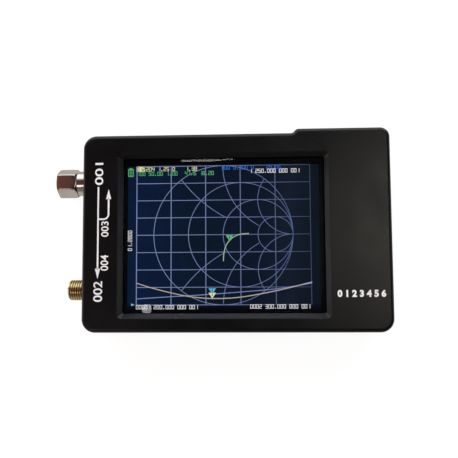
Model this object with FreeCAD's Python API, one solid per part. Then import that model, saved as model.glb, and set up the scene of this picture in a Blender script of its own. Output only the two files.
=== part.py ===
import FreeCAD, Part
import math
import os

# A hand-held radio analyzer that lies on its back: a flat two-part plastic case with a colour
# display in its front, two threaded radio sockets in its left side, a capped termination on the
# upper one, and a lever, a power switch and a charging socket in its edges.
#
# Millimetres. +X runs along the case to the right, +Y to its top edge, +Z out of its front.
# The origin is the centre of the flat back, measured without the raised part of the top edge.

V = FreeCAD.Vector

# Case
case_length = 91.4
case_width = 58.8
case_height = 19.0
side_wall = 2.0
front_wall = 2.0
back_wall = 2.0
corner_radius = 4.0
edge_round = 1.2
least_radius = 0.6
spare = 1.0                 # how far a cutter runs past what it cuts
root = 0.5                  # how far one piece of a solid starts inside another
raised_length = 29.1        # from the right side to where the top edge starts to rise
raised_height = 1.3
raised_run = 2.4            # length of the rise itself
raised_corner_radius = 2.8
lip_thickness = 0.9
lip_height = 1.0
lip_gap = 0.1

# Window in the front
active_length = 57.6        # lit area of the display
active_width = 43.2
active_left_margin = 13.2   # from the case's left side to the lit area
active_bottom_margin = 6.5  # from the case's bottom side to the lit area
window_margin_left = 1.2    # from the lit area to the window's inner rim
window_margin_right = 1.3
window_margin_bottom = 1.0
window_margin_top = 2.1
bevel_width = 1.3
bevel_depth = 1.6
window_corner = 0.6

# Display, from the front to the board
gasket_thickness = 0.5
gasket_inset = 0.8
touch_thickness = 1.1
glass_thickness = 0.7
tray_thickness = 2.0
tray_wall = 0.6
tray_floor = 0.3
display_tape_thickness = 0.3
module_margin_left = 3.0    # from the lit area to the module's edge
module_margin_right = 8.6
module_margin_side = 3.4
front_glass_short = 4.6     # how much the front glass ends before the rear one
fit_gap = 0.3
ribbon_thickness = 0.15
ribbon_width = 25.0
touch_ribbon_width = 8.0
ribbon_reach = 0.9          # straight stretch before the fold
ribbon_foot = 4.0
ribbon_spacing = 1.0
tape_width = 8.0
tape_short = 6.0
display_rib_length = 20.0
display_side_rib_length = 30.0
short_rib_length = 6.0
short_rib_start = 3.0

# Board and screws
board_thickness = 1.6
board_corner = 2.0
board_gap = 1.0             # from the board to the walls
screw_inset_side = 6.6      # screw axes, from the case's left and right sides
screw_inset_end = 5.1       # screw axes, from the case's top and bottom sides
screw_radius = 1.0
screw_hole_radius = 1.1
screw_head_radius = 1.9
screw_head_height = 1.3
screw_recess_radius = 2.1
screw_recess_depth = 2.3
screw_grip = 3.5            # length of the screw in the front boss
screw_tip_gap = 0.5
screw_head_round = 0.45
drive_length = 2.2
drive_width = 0.4
drive_depth = 0.7
back_boss_radius = 3.0
front_boss_radius = 2.4

# Chips and other parts on the board's back, from its left or right edge
chip_standoff = 0.1
foot_thickness = 0.25
foot_reach = 0.9
foot_root = 0.3
foot_share_of_pitch = 0.45
controller_from_right = 30.0
controller_y = 2.0
clock_from_left = 35.0
first_mixer_from_left = 14.0
second_mixer_from_left = 22.0
single_mixer_from_left = 18.0
sampler_from_left = 40.0
sampler_y = -15.0
charger_from_right = 16.5
charger_y = -12.0
crystal_length = 3.2
crystal_width = 2.5
crystal_height = 0.8
clock_crystal_y = 5.5
controller_crystal_from_right = 24.0
controller_crystal_y = 12.0
small_part_length = 1.6
small_part_width = 0.8
small_part_height = 0.7
shield_from_left = 7.4
shield_length = 21.0
shield_width = 15.8
shield_height = 2.4
shield_wall = 0.2
shield_corner = 1.0

# Radio sockets, 50 ohm, with a 1/4-36 thread
socket_spacing = 33.4
socket_middle_y = -0.45
thread_radius = 3.175
socket_reach = 6.4          # from the case's side to the socket's mouth
socket_chamfer = 0.45
neck_depth = 0.3            # the plain neck behind the thread
neck_reach = 0.2            # how far the neck shows outside the case
flange_size = 6.35
flange_thickness = 1.7
bore_radius = 2.3
bore_depth = 1.95
insulator_radius = 2.05
contact_radius = 0.635
contact_hole_radius = 0.47
contact_hole_depth = 2.6
tail_radius = 0.25
tail_length = 2.0
leg_size = 0.9
leg_length = 4.0
wall_hole_gap = 0.25
thread_gap = 0.05
running_gap = 0.025

# Termination on the upper socket
nut_skirt_wall = 0.62
nut_hex_wall = 0.775
nut_standoff = 0.3          # from the case's side to the nut
nut_skirt_length = 3.25
nut_hex_length = 6.1
nut_rear_gap = 0.08
nut_chamfer = 0.72
cap_reach = 0.5             # how far the termination's body stands out of the nut
cap_end_thickness = 0.85
seal_thickness = 0.5
pin_radius = 0.45
pin_reach = 2.1
pin_taper = 0.2
cap_chamfer = 0.25
ring_split = 1.0
ring_seat = 0.02
ring_width = 0.6
ring_depth = 0.4
ring_gap = 0.1
resistor_radius = 0.8
resistor_length = 1.8
seal_inset = 0.1

# Charging socket in the right side
usb_y = 4.0
usb_width = 8.94
usb_height = 3.26
usb_length = 7.7
usb_shell_wall = 0.3
usb_corner = 1.5
usb_sunk = 0.6              # from the case's side to the socket's mouth
usb_gap = 0.3
usb_recess_margin = 1.3
tongue_width = 6.7
tongue_thickness = 0.7
tongue_short = 0.9
usb_block_length = 2.0
usb_block_gap = 0.02

# Lever in the top edge, with its centre measured from the right side
lever_from_right = 14.9
lever_base_length = 10.0
lever_base_depth = 6.6
lever_base_height = 2.5
lever_base_wall = 0.8
lever_base_roof = 0.4
lever_base_from_wall = 0.4
plate_thickness = 0.2
slide_gap = 0.1
lever_push = 0.6
push_spare = 0.1
carriage_side = 1.2         # from the base's side to the carriage
hub_radius = 1.5
hub_gap = 0.15              # above and below the hub
hub_from_front = 1.8        # from the carriage's front to the hub's axis
arm_half_width = 0.7
lever_swing = 12.0          # degrees each way
swing_gap = 0.2
pad_half_width = 1.6
pad_length = 1.2
pad_round = 0.4
lever_sunk = 0.5            # from the case's top edge to the lever's tip
lever_slot_half_length = 4.2
slot_half_height = 1.6
slot_corner = 1.2
slot_chamfer = 0.6

# Power switch beside the lever
switch_from_right = 24.1
switch_travel = 2.0
switch_base_length = 6.6
switch_base_depth = 2.8
switch_base_height = 1.5
switch_base_from_wall = 1.5
switch_wall = 0.4
switch_roof = 0.2
slider_half_length = 1.4
stem_half_width = 0.65
stem_half_height = 0.35
stem_slot_gap = 0.15
switch_sunk = 0.6
switch_slot_gap = 0.5
switch_slot_half_height = 0.85

# Battery
cell_length = 40.0
cell_width = 30.0
cell_thickness = 4.5
cell_from_left = 23.7       # from the case's left side to the cell
cell_corner = 2.0
cell_flap_length = 2.5
cell_flap_inset = 6.0
cell_flap_thickness = 1.2
cell_tape_thickness = 0.3
cell_tape_margin = 4.0
cell_tape_width = 16.0
cell_round = 0.9
cell_rib_length = 5.0
rib_thickness = 1.0
rib_height = 3.0
plug_length = 3.0
plug_width = 3.6
plug_height = 2.2
header_length = 4.4
header_width = 5.2
header_height = 3.1
header_floor = 0.4
header_from_right = 15.7
header_from_bottom = 6.4
plug_in_header = 1.4
lead_radius = 0.55
lead_pitch = 1.5
lead_share_of_run = 0.45
lead_start_y = -4.5
lead_rise_shift = 1.5

# Status lamps beside the charging socket
lamp_hole_radius = 0.8
lamp_spacing = 4.0
lamp_from_usb = 9.5
lamp_length = 1.6
lamp_width = 0.8
lamp_height = 0.8

# Places worked out from the sizes above
left_side = -case_length / 2
right_side = case_length / 2
bottom_side = -case_width / 2
top_side = case_width / 2
raised_top = top_side + raised_height
raised_start = right_side - raised_length

front_inside = case_height - front_wall
touch_top = front_inside - gasket_thickness
front_glass_top = touch_top - touch_thickness
rear_glass_top = front_glass_top - glass_thickness
tray_top = rear_glass_top - glass_thickness
tray_bottom = tray_top - tray_thickness
board_top = tray_bottom - display_tape_thickness
board_bottom = board_top - board_thickness
socket_z = board_bottom - tail_radius
split_z = socket_z

active_left = left_side + active_left_margin
active_right = active_left + active_length
active_bottom = bottom_side + active_bottom_margin
active_top = active_bottom + active_width
active_middle_y = (active_bottom + active_top) / 2
module_left = active_left - module_margin_left
module_right = active_right + module_margin_right
module_bottom = active_bottom - module_margin_side
module_top = active_top + module_margin_side

flange_outer = left_side + side_wall + lip_gap
board_left = flange_outer + flange_thickness
board_right = right_side - side_wall - board_gap
board_edge_bottom = bottom_side + side_wall + board_gap
board_edge_top = top_side - side_wall - board_gap
socket_mouth = left_side - socket_reach
upper_socket_y = socket_middle_y + socket_spacing / 2
lower_socket_y = socket_middle_y - socket_spacing / 2

screw_places = [(x, y)
                for x in (left_side + screw_inset_side, right_side - screw_inset_side)
                for y in (bottom_side + screw_inset_end, top_side - screw_inset_end)]

lever_x = right_side - lever_from_right
lever_base_front = raised_top - side_wall - lever_base_from_wall
lever_base_back = lever_base_front - lever_base_depth
lever_ceiling = board_bottom - lever_base_roof
lever_floor = board_bottom - lever_base_height
lever_z = (lever_ceiling + lever_floor) / 2
carriage_front = lever_base_front - fit_gap
hub_y = carriage_front - hub_from_front
lever_tip = raised_top - lever_sunk

switch_x = right_side - switch_from_right
switch_front = raised_top - side_wall - switch_base_from_wall
switch_back = switch_front - switch_base_depth
switch_ceiling = board_bottom - switch_roof
switch_floor = board_bottom - switch_base_height
switch_z = (switch_ceiling + switch_floor) / 2

usb_mouth = right_side - usb_sunk
usb_z = board_bottom - usb_height / 2

nut_bore = thread_radius + thread_gap
nut_hex_flat = nut_bore + nut_hex_wall
nut_front = left_side - nut_standoff
nut_hex_start = nut_front - nut_skirt_length
nut_rear = nut_hex_start - nut_hex_length
body_radius = nut_bore - nut_rear_gap
body_end = nut_rear - cap_reach
body_shoulder = socket_mouth - ring_gap - seal_thickness
joint_plane = socket_mouth + bore_depth
ring_x = (body_shoulder + nut_rear) / 2

cell_left = left_side + cell_from_left
cell_right = cell_left + cell_length
cell_bottom_z = back_wall + cell_tape_thickness


def box(x0, x1, y0, y1, z0, z1):
    return Part.makeBox(x1 - x0, y1 - y0, z1 - z0, V(x0, y0, z0))


def rod_x(x0, x1, y, z, radius):
    return Part.makeCylinder(radius, x1 - x0, V(x0, y, z), V(1, 0, 0))


def rod_z(x, y, z0, z1, radius):
    return Part.makeCylinder(radius, z1 - z0, V(x, y, z0), V(0, 0, 1))


def arc(centre_x, centre_y, z, radius, start, end):
    angles = [math.radians(a) for a in (start, (start + end) / 2, end)]
    points = [V(centre_x + radius * math.cos(a), centre_y + radius * math.sin(a), z) for a in angles]
    return Part.Arc(*points).toShape()


# Joins arcs, in order, into one closed outline with a straight line across each gap.
def joined_outline(arcs):
    edges = []
    for this, following in zip(arcs, arcs[1:] + arcs[:1]):
        edges.append(this)
        start = this.lastVertex(True).Point
        end = following.firstVertex(True).Point
        if start.distanceToPoint(end) > 1e-6:
            edges.append(Part.makeLine(start, end))
    return Part.Wire(edges)


def rounded_outline(x0, x1, y0, y1, z, radius):
    return joined_outline([
        arc(x1 - radius, y0 + radius, z, radius, -90, 0),
        arc(x1 - radius, y1 - radius, z, radius, 0, 90),
        arc(x0 + radius, y1 - radius, z, radius, 90, 180),
        arc(x0 + radius, y0 + radius, z, radius, 180, 270)])


def rounded_block(x0, x1, y0, y1, z0, z1, radius):
    face = Part.Face(rounded_outline(x0, x1, y0, y1, z0, radius))
    return face.extrude(V(0, 0, z1 - z0))


# The case's outline moved inwards by a distance. The rise in its top edge is two equal arcs.
def case_outline(inward, z):
    x0, x1 = left_side + inward, right_side - inward
    y0, y1 = bottom_side + inward, top_side - inward
    radius = max(corner_radius - inward, least_radius)
    raised_radius = max(raised_corner_radius - inward, least_radius)
    low_x = raised_start + inward / 2
    high_x = low_x + raised_run
    bend = (raised_run ** 2 + raised_height ** 2) / (4 * raised_height)
    turn = math.degrees(math.asin(raised_run / 2 / bend))
    top = y1 + raised_height
    upper_bend = arc(high_x, top - bend, z, bend, 90, 90 + turn)
    lower_bend = arc(low_x, y1 + bend, z, bend, 270 + turn, 270)
    return joined_outline([
        arc(x1 - radius, y0 + radius, z, radius, -90, 0),
        arc(x1 - raised_radius, top - raised_radius, z, raised_radius, 0, 90),
        upper_bend,
        lower_bend,
        arc(x0 + radius, y1 - radius, z, radius, 90, 180),
        arc(x0 + radius, y0 + radius, z, radius, 180, 270)])


def case_block(inward, z0, z1):
    return Part.Face(case_outline(inward, z0)).extrude(V(0, 0, z1 - z0))


# Rounds the outer edges that lie in one level.
def rounded_rim(shape, z):
    rim = [e for e in shape.Edges if abs(e.BoundBox.ZMin - z) < 0.01 and abs(e.BoundBox.ZMax - z) < 0.01]
    return shape.makeFillet(edge_round, rim)


# A cutter with rounded corners through a wall that faces +Y, and its widened mouth.
def slot_through_top(x0, x1, z0, z1, corner, outer_y, chamfer):
    depth = side_wall + spare
    straight = rounded_block(x0, x1, z0, z1, -spare, depth, corner)
    wide = rounded_outline(x0 - chamfer, x1 + chamfer, z0 - chamfer, z1 + chamfer, 0, corner + chamfer)
    narrow = rounded_outline(x0, x1, z0, z1, chamfer, corner)
    cutter = straight.fuse(Part.makeLoft([wide, narrow], True))
    cutter.rotate(V(0, 0, 0), V(1, 0, 0), 90)
    cutter.translate(V(0, outer_y, 0))
    return cutter


# A cutter, or a solid, with a rounded section in the YZ plane, from x0 to x1.
def rounded_bar_x(x0, x1, y0, y1, z0, z1, radius):
    bar = rounded_block(-z1, -z0, y0, y1, x0, x1, radius)
    bar.rotate(V(0, 0, 0), V(0, 1, 0), 90)
    return bar


def socket_holes():
    hole_radius = thread_radius + wall_hole_gap
    holes = [rod_x(left_side - spare, left_side + side_wall + spare, y, socket_z, hole_radius)
             for y in (upper_socket_y, lower_socket_y)]
    return holes[0].fuse(holes[1])


def usb_cut():
    half_width = usb_width / 2 + usb_gap
    half_height = usb_height / 2 + usb_gap
    through = rounded_bar_x(right_side - side_wall - spare, right_side + spare, usb_y - half_width,
                            usb_y + half_width, usb_z - half_height, usb_z + half_height,
                            usb_corner + usb_gap)
    margin = usb_recess_margin
    recess = rounded_bar_x(usb_mouth, right_side + spare, usb_y - half_width - margin,
                           usb_y + half_width + margin, usb_z - half_height - margin,
                           usb_z + half_height + margin, usb_corner + margin)
    return through.fuse(recess)


def lamp_places():
    first = usb_y - lamp_from_usb
    return [first, first - lamp_spacing]


def lamp_holes():
    z = board_bottom - lamp_height / 2
    holes = [rod_x(right_side - side_wall - spare, right_side + spare, y, z, lamp_hole_radius)
             for y in lamp_places()]
    return holes[0].fuse(holes[1])


def lever_slot():
    return slot_through_top(lever_x - lever_slot_half_length, lever_x + lever_slot_half_length,
                            lever_z - slot_half_height, lever_z + slot_half_height,
                            slot_corner, raised_top, slot_chamfer)


def switch_slot():
    half_length = switch_travel / 2 + stem_half_width + switch_slot_gap
    corner = switch_slot_half_height * 0.9
    return slot_through_top(switch_x - half_length, switch_x + half_length,
                            switch_z - switch_slot_half_height, switch_z + switch_slot_half_height,
                            corner, raised_top, slot_chamfer / 2)


def side_openings():
    return [socket_holes(), usb_cut(), lamp_holes(), lever_slot(), switch_slot()]


def window_cut():
    x0, x1 = active_left - window_margin_left, active_right + window_margin_right
    y0, y1 = active_bottom - window_margin_bottom, active_top + window_margin_top
    rim_z = case_height - bevel_depth
    lower = rounded_outline(x0, x1, y0, y1, rim_z, window_corner)
    wide = bevel_width
    upper = rounded_outline(x0 - wide, x1 + wide, y0 - wide, y1 + wide, case_height,
                            window_corner + wide / 2)
    cut = Part.makeLoft([lower, upper], True)
    return cut.fuse(rounded_block(x0, x1, y0, y1, front_inside - spare, rim_z, window_corner))


# Short ribs under the front that keep the display module in its place.
def display_ribs():
    bottom = front_inside - gasket_thickness - touch_thickness - glass_thickness
    left = module_left - fit_gap
    right = module_right + fit_gap
    top = module_top + fit_gap
    low = module_bottom - fit_gap
    middle = (module_left + module_right) / 2
    half = display_side_rib_length / 2
    return [
        box(left - rib_thickness, left, active_middle_y - display_rib_length / 2,
            active_middle_y + display_rib_length / 2, bottom, front_inside),
        box(right, right + rib_thickness, module_bottom + short_rib_start,
            module_bottom + short_rib_start + short_rib_length, bottom, front_inside),
        box(middle - half, middle + half, top, top + rib_thickness, bottom, front_inside),
        box(middle - half, middle + half, bottom_side + side_wall / 2, low, bottom, front_inside)]


def make_front_shell():
    shell = rounded_rim(case_block(0, split_z, case_height), case_height)
    shell = shell.cut(case_block(side_wall, split_z, front_inside))
    rebate_inward = side_wall - lip_thickness - lip_gap
    shell = shell.cut(case_block(rebate_inward, split_z, split_z + lip_height + lip_gap))
    bosses = [rod_z(x, y, board_top, front_inside + front_wall / 2, front_boss_radius)
              for x, y in screw_places]
    shell = shell.fuse(bosses + display_ribs())
    hole_end = board_top + screw_grip + screw_tip_gap
    holes = [rod_z(x, y, board_top, hole_end, screw_radius) for x, y in screw_places]
    return shell.cut([window_cut()] + holes + side_openings())


# Corner ribs round the battery.
def battery_ribs():
    ribs = []
    for x, inward in ((cell_left - fit_gap, 1), (cell_right + fit_gap, -1)):
        for y, up in ((-cell_width / 2 - fit_gap, 1), (cell_width / 2 + fit_gap, -1)):
            x_ends = sorted((x, x - inward * rib_thickness))
            y_ends = sorted((y + up * cell_rib_length, y - up * rib_thickness))
            ribs.append(box(*x_ends, *y_ends, back_wall / 2, back_wall + rib_height))
            x_ends = sorted((x + inward * cell_rib_length, x - inward * rib_thickness))
            y_ends = sorted((y, y - up * rib_thickness))
            ribs.append(box(*x_ends, *y_ends, back_wall / 2, back_wall + rib_height))
    return ribs


def make_back_shell():
    shell = rounded_rim(case_block(0, 0, split_z), 0)
    shell = shell.cut(case_block(side_wall, back_wall, split_z))
    lip = case_block(side_wall - lip_thickness, split_z - root, split_z + lip_height)
    lip = lip.cut(case_block(side_wall, split_z - spare, split_z + lip_height + spare))
    bosses = [rod_z(x, y, back_wall / 2, board_bottom, back_boss_radius) for x, y in screw_places]
    shell = shell.fuse([lip] + bosses + battery_ribs())
    cuts = side_openings()
    for x, y in screw_places:
        cuts.append(rod_z(x, y, -spare, screw_recess_depth, screw_recess_radius))
        cuts.append(rod_z(x, y, 0, board_bottom + spare, screw_hole_radius))
    return shell.cut(cuts)


def make_screw(x, y):
    seat = screw_recess_depth
    bottom = seat - screw_head_height
    shank = rod_z(x, y, seat - root, board_top + screw_grip, screw_radius)
    head = rod_z(x, y, bottom, seat, screw_head_radius)
    low_edge = [e for e in head.Edges if e.BoundBox.ZMax < bottom + 0.01]
    screw = head.makeFillet(screw_head_round, low_edge).fuse(shank)
    for along, across in ((drive_length, drive_width), (drive_width, drive_length)):
        screw = screw.cut(box(x - along / 2, x + along / 2, y - across / 2, y + across / 2,
                              bottom - spare, bottom + drive_depth))
    return screw


def make_case_screws():
    return Part.makeCompound([make_screw(x, y) for x, y in screw_places])


def make_window_gasket():
    frame = box(module_left, module_right, module_bottom, module_top, touch_top, front_inside)
    hole = rounded_block(active_left - window_margin_left - gasket_inset,
                         active_right + window_margin_right + gasket_inset,
                         active_bottom - window_margin_bottom - gasket_inset,
                         active_top + window_margin_top + gasket_inset,
                         touch_top - spare, front_inside + spare, window_corner)
    return frame.cut(hole)


def make_touch_panel():
    return rounded_block(module_left, module_right, module_bottom, module_top,
                         front_glass_top, touch_top, window_corner)


def make_display_front_glass():
    return box(module_left + fit_gap, module_right - front_glass_short, module_bottom + fit_gap,
               module_top - fit_gap, rear_glass_top, front_glass_top)


def make_display_rear_glass():
    return box(module_left + fit_gap, module_right - fit_gap, module_bottom + fit_gap,
               module_top - fit_gap, tray_top, rear_glass_top)


def make_display_tray():
    tray = rounded_block(module_left, module_right, module_bottom, module_top, tray_bottom, tray_top,
                         window_corner)
    return tray.cut(box(module_left + tray_wall, module_right - tray_wall, module_bottom + tray_wall,
                        module_top - tray_wall, tray_bottom + tray_floor, tray_top + spare))


def make_display_light_guide():
    inward = tray_wall + lip_gap
    return box(module_left + inward, module_right - inward, module_bottom + inward,
               module_top - inward, tray_bottom + tray_floor, tray_top)


def make_display_tape():
    starts = (active_bottom, active_middle_y - tape_width / 2, active_top - tape_width)
    strips = [box(active_left, active_right - tape_short, y, y + tape_width, board_top, tray_bottom)
              for y in starts]
    return Part.makeCompound(strips)


# A thin ribbon that leaves the display, folds down past its end and comes back onto the board.
def folded_ribbon(top_z, start_x, fold_x, foot_x, middle_y, width):
    bottom_z = board_top
    t = ribbon_thickness
    outer = (top_z + t - bottom_z) / 2
    middle_z = bottom_z + outer
    section = [box(start_x, fold_x, 0, width, top_z, top_z + t),
               box(foot_x, fold_x, 0, width, bottom_z, bottom_z + t)]
    turned = Part.makeCylinder(outer, width, V(fold_x, 0, middle_z), V(0, 1, 0))
    turned = turned.cut(Part.makeCylinder(outer - t, width, V(fold_x, 0, middle_z), V(0, 1, 0)))
    turned = turned.cut(box(fold_x - outer - spare, fold_x, -spare, width + spare, bottom_z - spare,
                            top_z + spare))
    ribbon = section[0].fuse([section[1], turned]).removeSplitter()
    ribbon.translate(V(0, middle_y - width / 2, 0))
    return ribbon


def make_display_ribbon():
    return folded_ribbon(rear_glass_top, module_right - front_glass_short + fit_gap,
                         module_right + ribbon_reach, module_right - ribbon_foot,
                         active_middle_y, ribbon_width)


def make_touch_ribbon():
    middle_y = active_middle_y + ribbon_width / 2 + touch_ribbon_width / 2 + ribbon_spacing
    start = module_right - fit_gap
    return folded_ribbon(front_glass_top - ribbon_thickness, start - ribbon_foot / 2,
                         module_right + ribbon_reach, module_right - ribbon_foot,
                         middle_y, touch_ribbon_width)


def make_main_board():
    board = rounded_block(board_left, board_right, board_edge_bottom, board_edge_top,
                          board_bottom, board_top, board_corner)
    holes = [rod_z(x, y, board_bottom - spare, board_top + spare, screw_hole_radius)
             for x, y in screw_places]
    return board.cut(holes)


# A chip under the board on a row of feet along two or four of its sides.
def leaded_chip(x, y, length, width, height, feet_x, feet_y, pitch):
    body = box(x - length / 2, x + length / 2, y - width / 2, y + width / 2,
               board_bottom - height, board_bottom - chip_standoff)
    foot_width = pitch * foot_share_of_pitch
    low = board_bottom - foot_thickness
    feet = []
    for side in (-1, 1):
        for i in range(feet_x):
            across = x + (i - (feet_x - 1) / 2) * pitch
            ends = sorted((y + side * (width / 2 - foot_root), y + side * (width / 2 + foot_reach)))
            feet.append(box(across - foot_width / 2, across + foot_width / 2, ends[0], ends[1],
                            low, board_bottom))
        for i in range(feet_y):
            across = y + (i - (feet_y - 1) / 2) * pitch
            ends = sorted((x + side * (length / 2 - foot_root), x + side * (length / 2 + foot_reach)))
            feet.append(box(ends[0], ends[1], across - foot_width / 2, across + foot_width / 2,
                            low, board_bottom))
    return body.fuse(feet).removeSplitter()


def make_controller_chip():
    return leaded_chip(board_right - controller_from_right, controller_y, 7.0, 7.0, 1.4, 12, 12, 0.5)


def make_clock_chip():
    return leaded_chip(board_left + clock_from_left, 0.0, 3.0, 3.0, 1.0, 5, 0, 0.5)


def make_mixer_chips():
    places = [(board_left + first_mixer_from_left, upper_socket_y),
              (board_left + second_mixer_from_left, upper_socket_y),
              (board_left + single_mixer_from_left, lower_socket_y)]
    return Part.makeCompound([leaded_chip(x, y, 4.9, 3.9, 1.5, 4, 0, 1.27) for x, y in places])


def make_sampling_chip():
    return leaded_chip(board_left + sampler_from_left, sampler_y, 5.0, 4.4, 1.0, 8, 0, 0.6)


def make_charger_chip():
    return leaded_chip(board_right - charger_from_right, charger_y, 4.9, 3.9, 1.5, 4, 0, 1.27)


def make_crystals():
    places = [(board_left + clock_from_left, clock_crystal_y),
              (board_right - controller_crystal_from_right, controller_crystal_y)]
    length, width = crystal_length, crystal_width
    crystals = [rounded_block(x - length / 2, x + length / 2, y - width / 2, y + width / 2,
                              board_bottom - crystal_height, board_bottom, window_corner)
                for x, y in places]
    return Part.makeCompound(crystals)


# Small parts in rows beside the chips that they serve: where a row starts, how many, and their step.
def make_small_parts():
    rows = [(board_left + 31.0, 10.0, 6, 2.0), (board_left + 31.0, -8.0, 6, 2.0),
            (board_right - 36.0, -6.0, 6, 2.2), (board_right - 36.0, 9.5, 5, 2.2)]
    pieces = []
    for x, y, count, step in rows:
        for i in range(count):
            left = x + i * step - small_part_width / 2
            pieces.append(box(left, left + small_part_width, y - small_part_length / 2,
                              y + small_part_length / 2, board_bottom - small_part_height, board_bottom))
    return Part.makeCompound(pieces)


# A pressed metal can over the radio parts behind one socket, open to the board.
def shield_can(y):
    x0 = board_left + shield_from_left
    x1 = x0 + shield_length
    half = shield_width / 2
    low = board_bottom - shield_height
    wall = shield_wall
    can = rounded_block(x0, x1, y - half, y + half, low, board_bottom, shield_corner)
    inside = rounded_block(x0 + wall, x1 - wall, y - half + wall, y + half - wall,
                           low + wall, board_bottom + spare, shield_corner - wall)
    return can.cut(inside)


def make_status_lamps():
    lamps = [box(board_right - lamp_length, board_right, y - lamp_width, y + lamp_width,
                 board_bottom - lamp_height, board_bottom) for y in lamp_places()]
    return Part.makeCompound(lamps)


def make_usb_shell():
    x0 = usb_mouth - usb_length
    half_width, half_height = usb_width / 2, usb_height / 2
    shell = rounded_bar_x(x0, usb_mouth, usb_y - half_width, usb_y + half_width,
                          usb_z - half_height, usb_z + half_height, usb_corner)
    wall = usb_shell_wall
    return shell.cut(rounded_bar_x(x0 - spare, usb_mouth + spare, usb_y - half_width + wall,
                                   usb_y + half_width - wall, usb_z - half_height + wall,
                                   usb_z + half_height - wall, usb_corner - wall))


def make_usb_tongue():
    x0 = usb_mouth - usb_length
    wall = usb_shell_wall + usb_block_gap
    half_width, half_height = usb_width / 2 - wall, usb_height / 2 - wall
    block = rounded_bar_x(x0, x0 + usb_block_length, usb_y - half_width, usb_y + half_width,
                          usb_z - half_height, usb_z + half_height, usb_corner - wall)
    tongue = box(x0 + usb_block_length - root, usb_mouth - tongue_short, usb_y - tongue_width / 2,
                 usb_y + tongue_width / 2, usb_z - tongue_thickness / 2, usb_z + tongue_thickness / 2)
    return block.fuse(tongue)


# A socket's gold body: flange against the wall, threaded barrel outside, four legs on the board.
def socket_body(y):
    barrel = rod_x(socket_mouth, left_side - neck_reach, y, socket_z, thread_radius)
    mouth_edge = [e for e in barrel.Edges if e.BoundBox.XMax < socket_mouth + 0.01]
    barrel = barrel.makeChamfer(socket_chamfer, mouth_edge)
    neck = rod_x(left_side - neck_reach - root, flange_outer + root, y, socket_z, thread_radius - neck_depth)
    half = flange_size / 2
    flange = box(flange_outer, board_left, y - half, y + half, socket_z - half, socket_z + half)
    legs = []
    for side in (-1, 1):
        edge = y + side * (half - leg_size / 2)
        for z0 in (board_top, board_bottom - leg_size):
            legs.append(box(board_left - root, board_left + leg_length, edge - leg_size / 2,
                            edge + leg_size / 2, z0, z0 + leg_size))
    body = barrel.fuse([neck, flange] + legs).removeSplitter()
    bore = rod_x(socket_mouth - spare, joint_plane, y, socket_z, bore_radius)
    core = rod_x(joint_plane - root, board_left + spare, y, socket_z, insulator_radius)
    return body.cut([bore, core])


def socket_insulator(y):
    core = rod_x(joint_plane, board_left, y, socket_z, insulator_radius)
    return core.cut(rod_x(joint_plane - spare, board_left + spare, y, socket_z, contact_radius))


def socket_contact(y):
    contact = rod_x(joint_plane, board_left, y, socket_z, contact_radius)
    contact = contact.fuse(rod_x(board_left - root, board_left + tail_length, y, socket_z, tail_radius))
    return contact.cut(rod_x(joint_plane - spare, joint_plane + contact_hole_depth, y, socket_z,
                             contact_hole_radius))


def hexagon_x(x0, x1, y, z, flat_radius):
    corner = flat_radius / math.cos(math.pi / 6)
    points = [V(x0, y + corner * math.cos(math.radians(a)), z + corner * math.sin(math.radians(a)))
              for a in range(0, 361, 60)]
    return Part.Face(Part.makePolygon(points)).extrude(V(x1 - x0, 0, 0))


# The loose nut: a round skirt by the case, then a hexagon whose ends are turned off at a slant.
def make_termination_nut():
    y, z = upper_socket_y, socket_z
    corner = nut_hex_flat / math.cos(math.pi / 6)
    hexagon = hexagon_x(nut_rear, nut_hex_start, y, z, nut_hex_flat)
    turned = rod_x(nut_rear, nut_hex_start, y, z, corner)
    ends = [e for e in turned.Edges if e.BoundBox.XLength < 0.01]
    turned = turned.makeChamfer(nut_chamfer, ends)
    skirt = rod_x(nut_hex_start - root, nut_front, y, z, nut_bore + nut_skirt_wall)
    nut = hexagon.common(turned).fuse(skirt)
    bore = rod_x(nut_rear - spare, nut_front + spare, y, z, nut_bore)
    groove = rod_x(ring_x - ring_width / 2 - ring_gap, ring_x + ring_width / 2 + ring_gap, y, z,
                   body_radius + ring_depth + ring_gap)
    return nut.cut([bore, groove])


def make_termination_body():
    y, z = upper_socket_y, socket_z
    sleeve_radius = bore_radius - running_gap
    outside = rod_x(body_end, body_shoulder, y, z, body_radius)
    end_edge = [e for e in outside.Edges if e.BoundBox.XMax < body_end + 0.01]
    outside = outside.makeChamfer(cap_chamfer, end_edge)
    sleeve = rod_x(body_shoulder - root, joint_plane, y, z, sleeve_radius)
    groove = rod_x(ring_x - ring_width / 2 - ring_gap / 2, ring_x + ring_width / 2 + ring_gap / 2,
                   y, z, body_radius + spare)
    groove = groove.cut(rod_x(ring_x - ring_width, ring_x + ring_width, y, z, body_radius - ring_depth))
    core = rod_x(body_end + cap_end_thickness, joint_plane + spare, y, z, insulator_radius)
    return outside.fuse(sleeve).cut([groove, core])


def make_termination_ring():
    y, z = upper_socket_y, socket_z
    x0, x1 = ring_x - ring_width / 2, ring_x + ring_width / 2
    ring = rod_x(x0, x1, y, z, body_radius + ring_depth)
    ring = ring.cut(rod_x(x0 - spare, x1 + spare, y, z, body_radius - ring_depth + ring_seat))
    split = box(x0 - spare, x1 + spare, y - ring_split / 2, y + ring_split / 2, z, z + 2 * body_radius)
    return ring.cut(split)


def make_termination_seal():
    y, z = upper_socket_y, socket_z
    seal = rod_x(body_shoulder, body_shoulder + seal_thickness, y, z, body_radius - seal_inset)
    return seal.cut(rod_x(body_shoulder - spare, body_shoulder + seal_thickness + spare, y, z, bore_radius))


def make_termination_insulator():
    y, z = upper_socket_y, socket_z
    x0 = resistor_front()
    core = rod_x(x0, joint_plane, y, z, insulator_radius)
    return core.cut(rod_x(x0 - spare, joint_plane + spare, y, z, pin_radius))


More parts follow.
